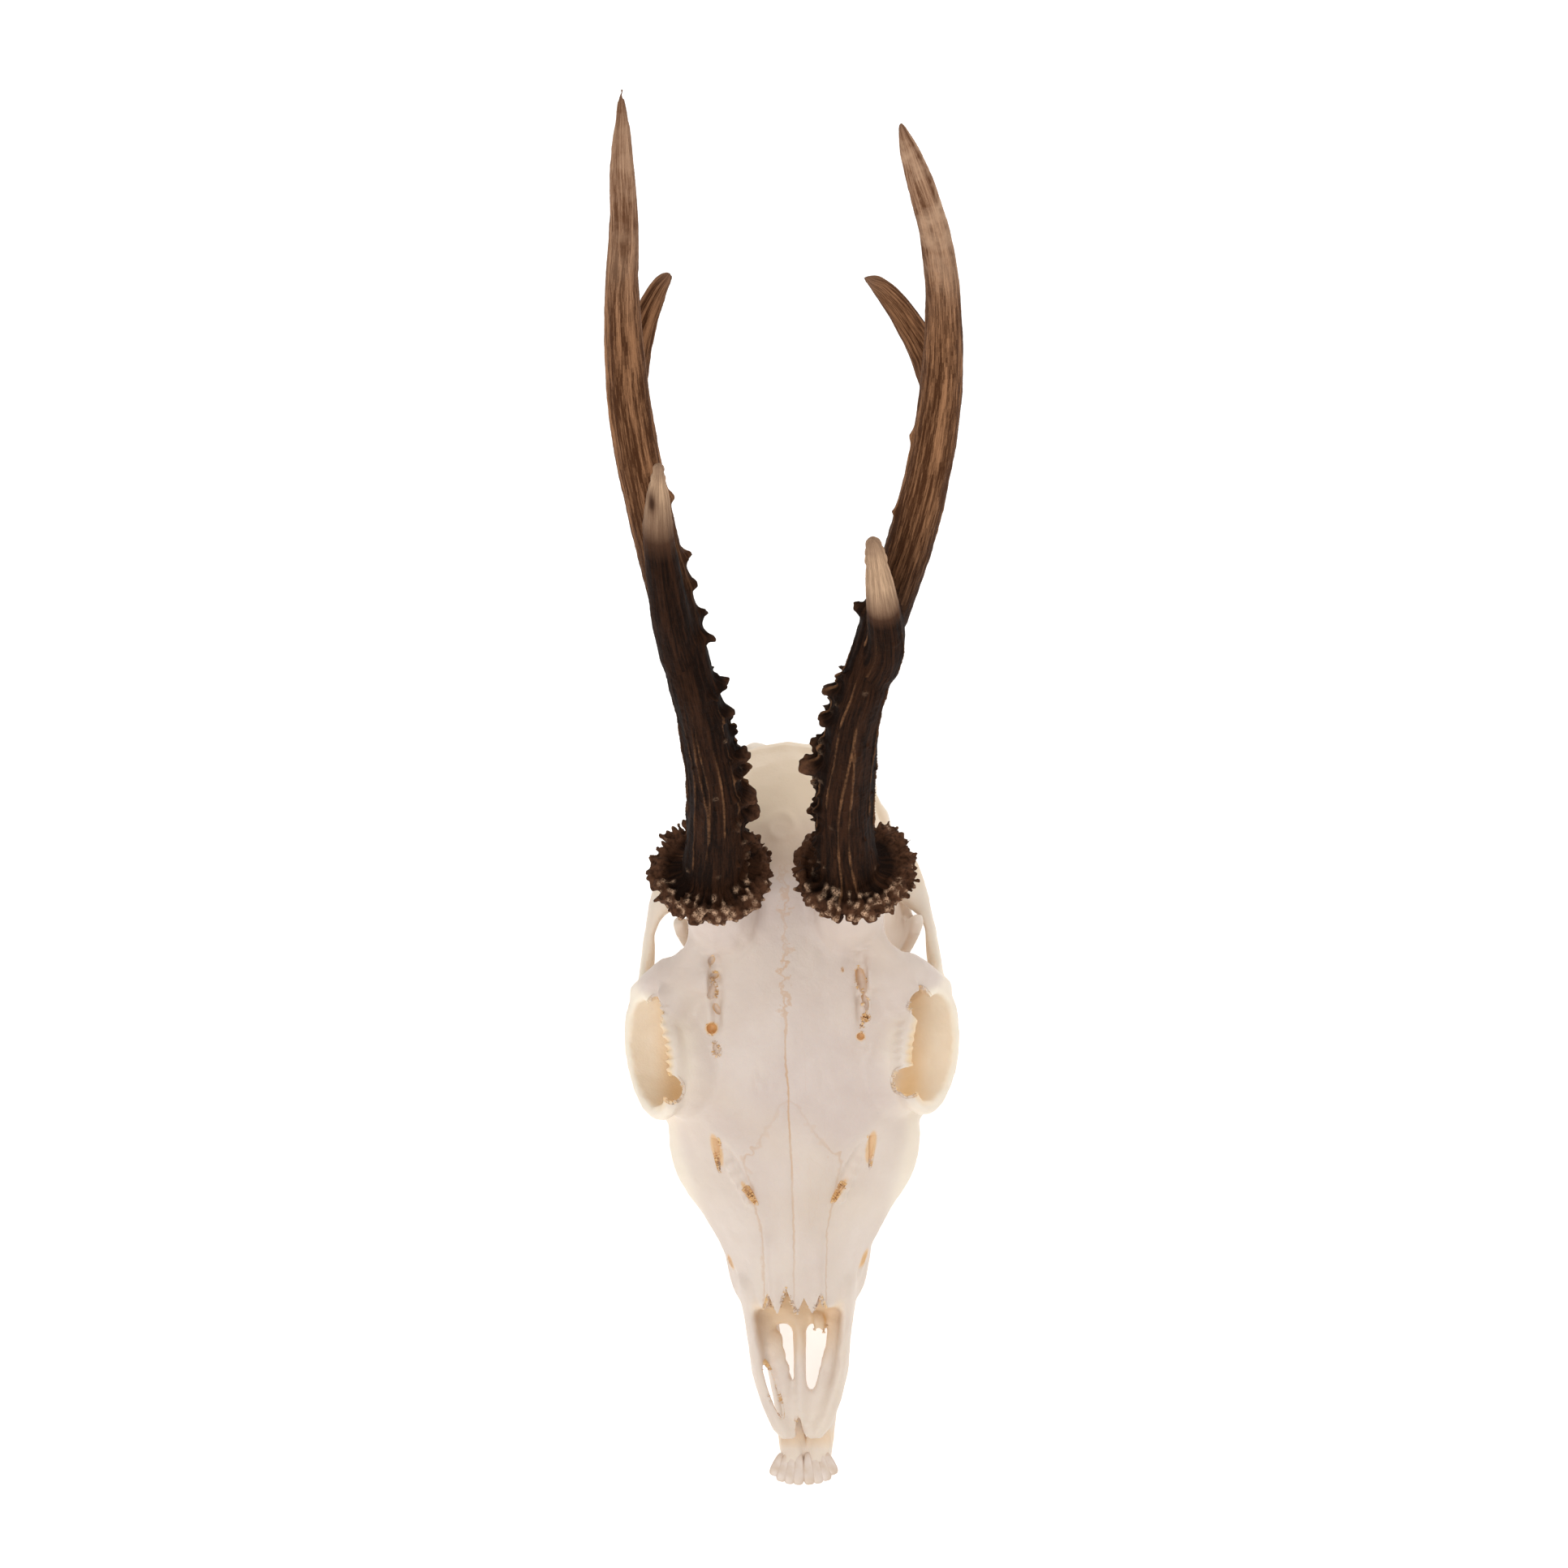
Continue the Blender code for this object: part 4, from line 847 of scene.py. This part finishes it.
for side in SIDES:
    jaw = remeshed(copied([f"mandible_{side}"], f"mandible_{side}_bone"), COARSE_VOXEL)
    smoothed(jaw, 16)
    opened(jaw)
    bpy.ops.mesh.select_all(action="SELECT")
    bpy.ops.mesh.bisect(
        plane_co=at_rest(0, JAW_CUT, 0), plane_no=turned(0, 1.0, 0), use_fill=True, clear_inner=True)
    for x, s, h, half in CHIN:
        bead(at_rest(JAW_SHIFT + SIGN[side] * x, s, h), half, skull_turn(-SIGN[side] * 16), 3)
    closed()
    remeshed(jaw, JAW_VOXEL)
    smoothed(jaw, 4)
    write(jaw, read(jaw) - normals_of(jaw) * (SWELL - 0.02 * MM))
    crown, gap = toothed(jaw, LOWER_TEETH, LOWER_START, lower_row)
    co = read(jaw)
    write(jaw, co + normals_of(jaw) * (0.1 * cloudy(co, 3 * MM, 41))[:, None] * MM)
    # painted shade: gold on the chin under the upper jaw's tip, and in the jaw's sheltered hollows
    chin = 0.5 * hump(along_skull(co)[1], 0.5, 4.5)  # gold under the upper jaw's tip
    keep(jaw, crown=crown, gap=gap, cream=np.full(len(co), 0.4),
         hollow=np.maximum(chin, 0.8 * sheltered(jaw)))
    finished(jaw, [f"mandible_{side}"], bone)
    print(jaw.name, len(jaw.data.polygons), "faces")

# %% [markdown]
# ## Front teeth
# The lower jaw ends in a fan of eight small spades, four a side, that bite against a pad of gum. Each is
# a ball that is squared off, drawn out from its root to its edge, and widened towards the edge.

# %% Front teeth
INCISORS = (  # root x, tip x, tip s, half width
    (1.1, 1.6, -12.4, 1.7), (2.9, 4.2, -12.1, 1.65), (4.6, 6.6, -11.3, 1.6), (6.2, 8.6, -9.6, 1.5))
ROOT_S, ROOT_H, EDGE_H = -3.6, 1.9, 4.1

# Enamel, worn by grazing: the eye sees a low gloss, ivory in patches of about 3 mm, brown between teeth.
enamel = new_material("tooth_enamel_worn")
here = add(enamel, "ShaderNodeTexCoord", {}, "Object")
mottle = add(enamel, "ShaderNodeTexNoise", {"Vector": here, "Scale": 300, "Detail": 3}, "Fac")
tint = washed(enamel, linear("#E4D3C6"), (
    (mottle, 0.4, 0.7, 1.0, "#D9C2AC"), ("side", 0.0, 1.0, 1.0, "#A9835F")))
surface = add(enamel, "ShaderNodeBsdfPrincipled", {"Base Color": tint, "Roughness": 0.32, "IOR": 1.62})
add(enamel, "ShaderNodeOutputMaterial", {"Surface": surface})

for side in SIDES:
    for number, (root_x, tip_x, tip_s, half) in enumerate(INCISORS):
        root = np.array([SIGN[side] * root_x + 0.3 * JAW_SHIFT, ROOT_S, ROOT_H])
        reach = np.array([SIGN[side] * tip_x + 0.3 * JAW_SHIFT, tip_s, EDGE_H]) - root
        across = np.cross(reach, (0, 0, 1)) / np.linalg.norm(np.cross(reach, (0, 0, 1)))
        up = np.cross(across, reach) / np.linalg.norm(reach)
        bpy.ops.object.select_all(action="DESELECT")
        bpy.ops.mesh.primitive_uv_sphere_add(segments=28, ring_count=20, radius=1)
        tooth = bpy.context.object
        tooth.name = f"incisor_{side}_{number + 1}"
        ball = read(tooth)
        square = np.sign(ball) * np.abs(ball) ** np.array([0.6, 0.9, 0.45])
        part = (square[:, 2] + 1) / 2
        wide = half * (0.55 + 0.45 * np.clip(part * 1.5, 0, 1)) * square[:, 0]
        thick = (1.0 - 0.5 * part) * square[:, 1] + 0.6 * np.sin(math.pi * part) - 0.12 * number
        place = root + part[:, None] * reach + wide[:, None] * across + thick[:, None] * up
        keep(tooth, side=0.65 * np.abs(square[:, 0]) ** 7 * np.clip(1.25 - part, 0, 1))
        write(tooth, at_rest(*place.T))
        opened(tooth)
        bpy.ops.mesh.select_all(action="SELECT")
        bpy.ops.mesh.normals_make_consistent(inside=False)
        closed()
        finished(tooth, [], enamel)

# %% [markdown]
# ## The antlers
# An antler is bone that grew under velvet and was rubbed on bark. Blood vessels left grooves along it,
# with thin crests between them, and beads of bone called pearls. The foot flares into a crown. Each beam
# and tine has a line through its middle, so that every point knows how far along and round it lies.

# %% Antler lines
BEAMS = {  # x, s, h and radius
    "left": (
        (17.6, 148, 84.0, 9.0), (17.0, 154, 96.0, 8.2), (16.6, 161, 108.0, 7.6), (17.5, 171, 125.0, 7.1),
        (20.2, 184, 147.0, 6.4), (23.5, 192, 159.0, 6.0), (28.0, 204.5, 170.0, 5.7),
        (34.6, 221, 181.5, 5.8), (40.0, 239, 194.7, 5.4), (42.5, 254, 206.0, 5.1),
        (42.9, 269.5, 227.0, 4.1), (40.8, 280.5, 243.4, 3.6), (36.4, 291, 259.0, 2.7),
        (33.3, 298, 269.0, 0.7)),
    "right": (
        (-19.2, 148, 84.0, 9.0), (-17.6, 154, 96.0, 8.2), (-16.6, 161, 108.0, 7.6),
        (-16.0, 171.5, 126.0, 6.8), (-17.8, 185, 148.0, 6.0), (-19.8, 193, 160.0, 6.0),
        (-22.3, 205.6, 171.3, 5.6), (-27.0, 226.7, 186.6, 5.5), (-30.1, 244, 199.0, 5.4),
        (-31.0, 256, 208.5, 5.1), (-30.4, 271.3, 228.8, 4.1), (-28.6, 282.2, 244.3, 3.4),
        (-27.9, 292.7, 259.4, 2.8), (-26.5, 305, 277.0, 0.7)),
}
FRONT_TINES = {
    "left": ((21.5, 189, 154.0, 5.2), (26.4, 194.5, 163.5, 5.4), (28.3, 199, 172.0, 4.8),
             (27.4, 206.5, 184.0, 4.0), (26.4, 213, 194.5, 2.8), (25.7, 217, 201.0, 0.8)),
    "right": ((-19.3, 190, 154.0, 5.2), (-22.2, 199, 168.0, 5.3), (-23.8, 209, 182.0, 4.7),
              (-24.8, 221, 195.5, 3.9), (-24.4, 229, 204.5, 2.9), (-23.7, 234.5, 210.5, 0.8)),
}
REAR_TINES = {
    "left": ((42.0, 252, 203.5, 4.4), (38.6, 262, 204.0, 3.9), (33.4, 271, 205.5, 3.2),
             (28.8, 276.4, 208.0, 2.4), (24.8, 278.4, 210.5, 1.1)),
    "right": ((-30.8, 253, 205.0, 4.5), (-28.8, 264, 205.5, 3.9), (-26.0, 272, 206.5, 3.1),
              (-23.0, 277.6, 208.5, 2.4), (-20.2, 280.6, 210.5, 1.2)),
}
ANTLER_COARSE_VOXEL = 0.7 * MM
ANTLER_VOXEL = 0.45 * MM
LENGTHS = ("lower_beam", "middle_beam", "top_point", "front_tine", "rear_tine")


def through(stations, steps=20):
    """A smooth line through the stations: places over the table, and the radius at each."""
    rows = np.array(stations, float)
    ends = np.vstack([2 * rows[0] - rows[1], rows, 2 * rows[-1] - rows[-2]])
    out = []
    for a, b, c, d in zip(ends, ends[1:], ends[2:], ends[3:]):
        for t in np.arange(steps) / steps:
            bend = 2 * b + (c - a) * t + (2 * a - 5 * b + 4 * c - d) * t**2
            out.append((bend + (3 * b - a - 3 * c + d) * t**3) / 2)
    out = np.array(out + [rows[-1]])
    return at_rest(out[:, 0], out[:, 1], out[:, 2]), out[:, 3]


def headings(line):
    way = np.gradient(line, axis=0)
    return way / np.linalg.norm(way, axis=1)[:, None]


def run_along(line):
    return np.concatenate([[0], np.cumsum(np.linalg.norm(np.diff(line, axis=0), axis=1))]) / MM


def beside(line, co):
    """For each point: the nearest step of the line, its distance in mm, and the way out from the line."""
    best = np.full(len(co), np.inf)
    step = np.zeros(len(co), int)
    for i, place in enumerate(line):
        away = ((co - place) ** 2).sum(1)
        closer = away < best
        best[closer] = away[closer]
        step[closer] = i
    way = headings(line)[step]
    off = co - line[step]
    off -= (off * way).sum(1)[:, None] * way
    return step, np.sqrt(best) / MM, off / np.linalg.norm(off, axis=1).clip(1e-9)[:, None]


# %% [markdown]
# The crown is a dark smooth dish with four tiers of short knobs round its rim, longer at the outer back.
# Three more rows stand up at its front. Large pearls stand up the inner side of the beam, and small ones
# are strewn over its lower part, most of them on that side too. Each is a rounded lump that melts into
# the antler when it is remeshed. Some tips were rubbed pale, so their places are kept for the material.

# %% Crown and pearls
CROWN_TIERS = (  # knobs, distance out, height along the antler, half length
    (34, 13.4, 5.6, 1.7), (33, 14.3, 4.0, 2.0), (31, 14.2, 2.2, 2.0), (28, 13.4, 0.5, 1.8))
FRONT_ROWS = ((30, 10.4, 6.5), (34, 12.0, 6.0), (36, 13.4, 5.2))  # knobs round, distance out, height
FRONT_START = 0.25  # these rows stand only where the crown faces this much to the front
CROWN_FOOT = (18.4, 149.5, 86.0)
CROWN_LEAN = math.radians(31)
SMALL_PEARLS = 130
KNOBS = {  # s on the beam, degrees from the inner side, size
    "left": ((156, -25, 2.6), (159, 20, 2.4), (163, -10, 2.8), (167, 30, 2.4), (170, -20, 2.8),
             (173.5, 0, 4.6), (177, -10, 4.0), (184, 15, 3.6), (189, -5, 4.4), (194, 25, 2.8),
             (207, 0, 3.6), (228, 10, 1.6), (242, -5, 1.4)),
    "right": ((156, 20, 2.8), (160, -10, 3.6), (164, 0, 4.4), (169, -10, 4.4), (173, 10, 3.4),
              (177, -5, 4.2), (181, 15, 2.6), (186, -10, 3.6), (191, 5, 3.8), (201, -10, 3.2),
              (206, 15, 3.2), (212, -5, 2.8), (218, 10, 2.4), (232, 0, 1.8)),
}


def crown_frame(side):
    """The middle of the crown, and a turn with Z along the antler and X to its inner side."""
    sign = SIGN[side]
    axis = Vector(turned(0.03 * sign, math.sin(CROWN_LEAN), math.cos(CROWN_LEAN))).normalized()
    inner = Vector((-sign, 0, 0))
    inner = (inner - axis * inner.dot(axis)).normalized()
    turn = Matrix((inner, axis.cross(inner), axis)).transposed()
    return Vector(at_rest(CROWN_FOOT[0] * sign, *CROWN_FOOT[1:])), turn


def facing(way):
    """The turn that points a lump's own X this way."""
    return way.to_track_quat("X", "Z").to_euler()


def crown_knobs(side, rng, pale):
    """Adds the knobs, and lists the places and strengths of the tips that were rubbed pale."""
    centre, turn = crown_frame(side)
    flare = Vector((SIGN[side], 0.8, 0)).normalized()
    bead(centre + turn @ Vector((0, 0, 4.6)) * MM, (12.6, 12.6, 3.6), turn.to_euler(), 4)
    for count, reach, rise, long in CROWN_TIERS:
        for k in range(count):
            angle = 2 * math.pi * (k + rng.uniform(-0.35, 0.35)) / count
            spoke = turn @ Vector((math.cos(angle), math.sin(angle), 0))
            back = max(0.0, spoke.dot(flare))
            front = max(0.0, -spoke.y)
            lift = rng.uniform(-0.5, 0.5) + 0.3 * back + 0.5 * front
            way = (spoke + turn @ Vector((0, 0, lift))).normalized()
            length = long * rng.uniform(0.6, 1.25) + 1.1 * back
            width = rng.uniform(0.85, 1.25)
            place = centre + (spoke * (reach - 0.2 * front + rng.uniform(-0.5, 0.5))
                              + turn @ Vector((0, 0, rise + rng.uniform(-0.4, 0.4) + 0.8 * back))) * MM
            bead(place, (length, width, width * rng.uniform(0.9, 1.4)), facing(way))
            knob = rng.uniform(0.7, 1.0)
            end = place + way * (length - 0.6) * MM
            if rng.uniform() < 0.9:
                bead(end, (knob * 1.4, knob, knob), facing(way))
            if rng.uniform() < 0.2 + 0.6 * front:
                pale.append((end + way * 0.8 * MM, rng.uniform(0.3, 0.6) + 0.4 * front))
    for count, reach, rise in FRONT_ROWS:
        for k in range(count):
            angle = 2 * math.pi * (k + rng.uniform(-0.4, 0.4)) / count
            spoke = turn @ Vector((math.cos(angle), math.sin(angle), 0))
            if -spoke.y > FRONT_START:
                way = (spoke * 0.7 + turn @ Vector((0, 0, 1.0))).normalized()
                lifted = turn @ Vector((0, 0, rise + rng.uniform(-0.3, 0.3)))
                place = centre + (spoke * reach + lifted) * MM
                knob = rng.uniform(0.65, 1.0)
                bead(place, (knob * rng.uniform(1.3, 2.2), knob, knob), facing(way))
                if rng.uniform() < 0.6:
                    pale.append((place + way * 1.3 * MM, rng.uniform(0.4, 0.9)))


def beside_beam(side, beam, radius, i, around, proud):
    """A place on the beam's skin at a step of its line, so many degrees from the inner side."""
    out = Matrix.Rotation(math.radians(around), 3, Vector(headings(beam)[i])) @ Vector((-SIGN[side], 0, 0))
    return Vector(beam[i]) + out * (radius[i] + proud) * MM, out


def pearls(side, beam, radius, rng, pale):
    run, beam_s = run_along(beam), along_skull(beam)[1]
    for at_s, around, size in KNOBS[side]:
        i = int(np.argmin(np.abs(beam_s - at_s)))
        place, out = beside_beam(side, beam, radius, i, around, 0.25 * size)
        bead(place, (0.48 * size, 0.34 * size, 0.36 * size), facing(out), 3)
        for _ in range(2 if size > 2 else 0):
            place, out = beside_beam(side, beam, radius, i, around + rng.uniform(-9, 9), 0.3 * size)
            place += Vector(rng.uniform(-0.3, 0.3, 3)) * size * MM
            half = size * rng.uniform(0.2, 0.33)
            bead(place, (half * 1.5, half, half), facing(out), 3)
    for _ in range(SMALL_PEARLS):
        i = int(np.argmin(np.abs(run - (8 + 82 * rng.uniform() ** 1.4))))
        around = rng.normal(0, 42) if rng.uniform() < 0.7 else rng.uniform(-180, 180)
        near = abs(around) < 50
        size = rng.uniform(0.5, 1.0) * (1.2 if near else 0.7)
        place, out = beside_beam(side, beam, radius, i, around, 0.2)
        bead(place, (size * rng.uniform(1.0, 2.4 if near else 1.4), size, size), facing(out))
        if rng.uniform() < (0.35 if near else 0.12):
            pale.append((place + out * size * MM, rng.uniform(0.05, 0.25)))


# %% [markdown]
# Long thin crests run up the beam between the old grooves of the blood vessels. Noise gives blotches or
# dashes instead of lines, so each crest is drawn: it has its own place round the beam, wanders as it
# rises, and ends at its own height. Noise that is stretched along the antler gives the fine ridges
# between them.

# %% Antler skins
STRETCH = 13  # how much longer than wide the fine ridges are
GRAIN_HALF = 6.5  # mm, the beam's radius for which the ridges' pattern is laid out
CRESTS = 13
CREST_HALF = 0.38  # mm
TINE_RUN = 0.3  # the front tine stays dark like its foot, so its colours change this much slower
TIP_PALE = {"left": (14, 27), "right": (5, 26)}  # mm from the front tine's point: pale to, dark from
UPPER_PALE = {"left": 0.9, "right": 0.35}  # how strong the rubbed pale patches of the upper beam are
PALE_REACH = 0.85 * MM  # how far a knob's rubbed tip goes
DARK_SPOT = {"aside": -2.2, "from_end": 9.5, "half_wide": 1.3, "half_long": 3.2}  # mm


def crests(around, run, radius, rng):
    """1 on the top of a crest and 0 between crests, for degrees around the beam and mm along it."""
    out = np.zeros(len(run))
    for number in range(CRESTS):
        middle = 360 * (number + rng.uniform(-0.5, 0.5)) / CRESTS + rng.uniform(-0.22, 0.22) * run
        middle += rng.uniform(1.5, 5) * np.sin(run / rng.uniform(4, 11) + rng.uniform(0, 6))
        away = np.radians((around - middle + 180) % 360 - 180) * radius
        start, end = rng.uniform(0, 40), rng.uniform(48, 104)
        shown = np.clip((run - start) / 5, 0, 1) * np.clip((end - run) / 15, 0, 1) * rng.uniform(0.55, 1)
        out = np.maximum(out, shown * hump(away, 0, CREST_HALF))
    return out


def dressed(antler, side, pale):
    """Raises crests along the antler and stores what its material reads."""
    co, normals = read(antler), normals_of(antler)
    lines = [through(line[side]) for line in (BEAMS, FRONT_TINES, REAR_TINES)]
    beam = lines[0][0]
    best = np.full(len(co), np.inf)
    run, proud, tip = np.zeros(len(co)), np.zeros(len(co)), np.full(len(co), np.inf)
    grain, on_tine = np.zeros((len(co), 3)), np.zeros(len(co), bool)
    around, thick = np.zeros(len(co)), np.zeros(len(co))
    for number, (line, size) in enumerate(lines):
        step, away, out = beside(line, co)
        start = 0 if number == 0 else run_along(beam)[beside(beam, line[:1])[0][0]]
        along = run_along(line)[step]
        way = headings(line)[step]
        inner = np.array([-SIGN[side], 0, 0]) + SIGN[side] * way[:, :1] * way
        other = np.cross(way, inner)
        closer = away / (size[step] + 1.5) < best
        best[closer] = (away / (size[step] + 1.5))[closer]
        run[closer] = (start + along * (TINE_RUN if number == 1 else 1))[closer]
        proud[closer], thick[closer] = (away - size[step])[closer], size[step][closer]
        turn = np.arctan2((out * other).sum(1), (out * inner).sum(1))
        grain[closer] = np.stack([GRAIN_HALF * np.cos(turn), GRAIN_HALF * np.sin(turn),
                                  (start + along) / STRETCH], 1)[closer]
        around[closer] = np.degrees(turn)[closer]
        on_tine[closer] = number == 1
        tip = np.minimum(tip, np.linalg.norm(co - line[-1], axis=1) / MM)
    crest = crests(around, run, thick, np.random.default_rng({"left": 61, "right": 62}[side]))
    crest *= np.clip(0.85 + 0.45 * cloudy(co, 4 * MM, 25), 0.3, 1.2)
    fine = cloudy(grain, 0.8, 21) + 0.8 * cloudy(grain, 1.7, 20)
    strength = np.interp(run, (0, 12, 30, 70, 130, 190), (0.1, 0.6, 1.0, 0.85, 0.45, 0.15))
    strength *= np.where(on_tine, 0.55, 1) * np.clip(tip / 12, 0, 1)
    lift = strength * (0.9 * crest - 0.12 + 0.35 * cloudy(grain, 3.4, 26)) + 0.14 * (0.3 + strength) * fine
    lift += 0.12 * cloudy(co, 1.3 * MM, 22) * np.clip(strength * 2, 0.2, 1)
    lift += 0.6 * cloudy(co, 1.5 * MM, 27) * np.clip((proud - 0.8) / 2, 0, 1) * (run < 130)
    write(antler, co + normals * ((lift * MM - SWELL))[:, None])
    spots = kdtree.KDTree(len(pale))
    for i, (place, _) in enumerate(pale):
        spots.insert(place, i)
    spots.balance()
    shine = np.zeros(len(co))
    for i, place in enumerate(co):
        _, which, away = spots.find(place)
        shine[i] = pale[which][1] * hump(away, 0, PALE_REACH, 4)
    tine_end = lines[1][0][-1]
    from_end = np.linalg.norm(co - tine_end, axis=1) / MM
    ivory = np.interp(from_end, TIP_PALE[side], (1, 0)) * on_tine
    if side == "right":  # the animal's right tine is at the left of the picture; it has a dark spot
        aside = (co[:, 0] - tine_end[0]) / MM
        ivory *= 1 - 0.75 * (hump(aside, DARK_SPOT["aside"], DARK_SPOT["half_wide"])
                             * hump(from_end, DARK_SPOT["from_end"], DARK_SPOT["half_long"]))
    keep(antler, crest=crest, run=run, to_tip=tip, ivory=ivory, rubbed_pale=shine,
         upper=UPPER_PALE[side] * np.interp(run, (192, 222), (0, 1)),
         proud=np.where(run > 16, proud, proud - 1.5))
    antler.data.attributes.new("grain", "FLOAT_VECTOR", "POINT").data.foreach_set(
        "vector", (grain * MM).astype(np.float32).ravel())


# Antler, stained dark by bark and sap and then rubbed: the eye sees near-black in the hollows of the
# foot, tan lines on its crests, brown and buff streaks further up, and ivory where a tine's point was
# polished. Streaks are about 1 mm across. The real ones go down to a tenth of that, too fine to show.
horn = new_material("antler_rubbed_and_bark_stained")
grain = add(horn, "ShaderNodeAttribute", {}, "Vector", attribute_name="grain")
here = add(horn, "ShaderNodeTexCoord", {}, "Object")
patches, thin, hair, grit, fine_grit, rubbed = (
    add(horn, "ShaderNodeTexNoise", {
        "Vector": where, "Scale": scale, "Detail": detail, "Roughness": rough}, "Fac")
    for where, scale, detail, rough in (
        (grain, 230, 3, 0.6), (grain, 1000, 6, 0.75), (grain, 3200, 3, 0.7),
        (here, 900, 3, 0.55), (here, 2400, 3, 0.55), (here, 75, 4, 0.6)))
streak = add(horn, "ShaderNodeMath", {0: patches, 1: 0.7, 2: thin}, operation="MULTIPLY_ADD")
streak = add(horn, "ShaderNodeMath", {0: hair, 1: 0.5, 2: streak}, operation="MULTIPLY_ADD")
tone = None
for start, end, dark, light in (  # mm along the beam where a zone begins and is in full, and its colours
    (0, 0, "#190D07", "#3B2315"), (104, 138, "#4E2F1B", "#A97A57"), (184, 236, "#704B33", "#C39B7D"),
):
    zone = washed(horn, linear(dark), ((streak, 1.02, 1.28, 1.0, light),))
    if tone is None:
        tone = zone
        continue
    share = add(horn, "ShaderNodeMapRange", {
        "Value": add(horn, "ShaderNodeAttribute", {}, "Fac", attribute_name="run"),
        "From Min": start, "From Max": end})
    tone = add(horn, "ShaderNodeMix", {0: share, 6: tone, 7: zone}, 2, data_type="RGBA")
broken, speckled = (
    add(horn, "ShaderNodeMapRange", {
        "Value": noise, "From Min": low, "From Max": high, "To Min": least, "To Max": most})
    for noise, low, high, least, most in ((grit, 0.36, 0.6, 0.3, 0.85), (fine_grit, 0.38, 0.55, 0.0, 1.0)))
streaky = add(horn, "ShaderNodeMapRange", {
    "Value": streak, "From Min": 0.98, "From Max": 1.2, "To Min": 0.5, "To Max": 1.0})
tone = washed(horn, tone, (
    (rubbed, 0.46, 0.6, "upper", "#CDA88A"),
    ("crest", 0.3, 0.85, broken, "#8C6344"), ("proud", 1.4, 4.0, broken, "#644330"),
    ("rubbed_pale", 0.0, 1.0, speckled, "#E4BC9B"), ("ivory", 0.0, 0.45, 0.8, "#6B4A37"),
    ("ivory", 0.25, 1.0, streaky, "#DDB896"), ("to_tip", 5.0, 0.5, 0.6, "#7E5F4E")))
both = add(horn, "ShaderNodeMath", {0: grit, 1: streak}, operation="ADD")
bumps = add(horn, "ShaderNodeBump", {"Strength": 0.6, "Distance": 0.0005, "Height": both})
surface = add(horn, "ShaderNodeBsdfPrincipled", {
    "Base Color": tone, "Roughness": 0.72, "IOR": 1.54, "Specular IOR Level": 0.05, "Normal": bumps})
add(horn, "ShaderNodeOutputMaterial", {"Surface": surface})

TINE_TIPS = {"left": (2.3, 2.7, 3.0), "right": (1.7, 2.1, 2.4)}
for side in SIDES:
    nodes = [f"antler_{side}_{length}" for length in LENGTHS]
    antler = remeshed(copied(nodes, f"antler_{side}_horn"), ANTLER_COARSE_VOXEL)
    smoothed(antler, 22)
    rng = np.random.default_rng({"left": 5, "right": 9}[side])
    beam, radius = through(BEAMS[side])
    tine = through(FRONT_TINES[side])[0]
    pale = []
    opened(antler)
    crown_knobs(side, rng, pale)
    pearls(side, beam, radius, rng, pale)
    for back, half in zip((3, 10, 17), TINE_TIPS[side]):
        bead(tine[-back], (half,) * 3, fine=3)
    closed()
    remeshed(antler, ANTLER_VOXEL)
    smoothed(antler, 3)
    dressed(antler, side, pale)
    finished(antler, nodes, horn)
    print(antler.name, len(antler.data.polygons), "faces")
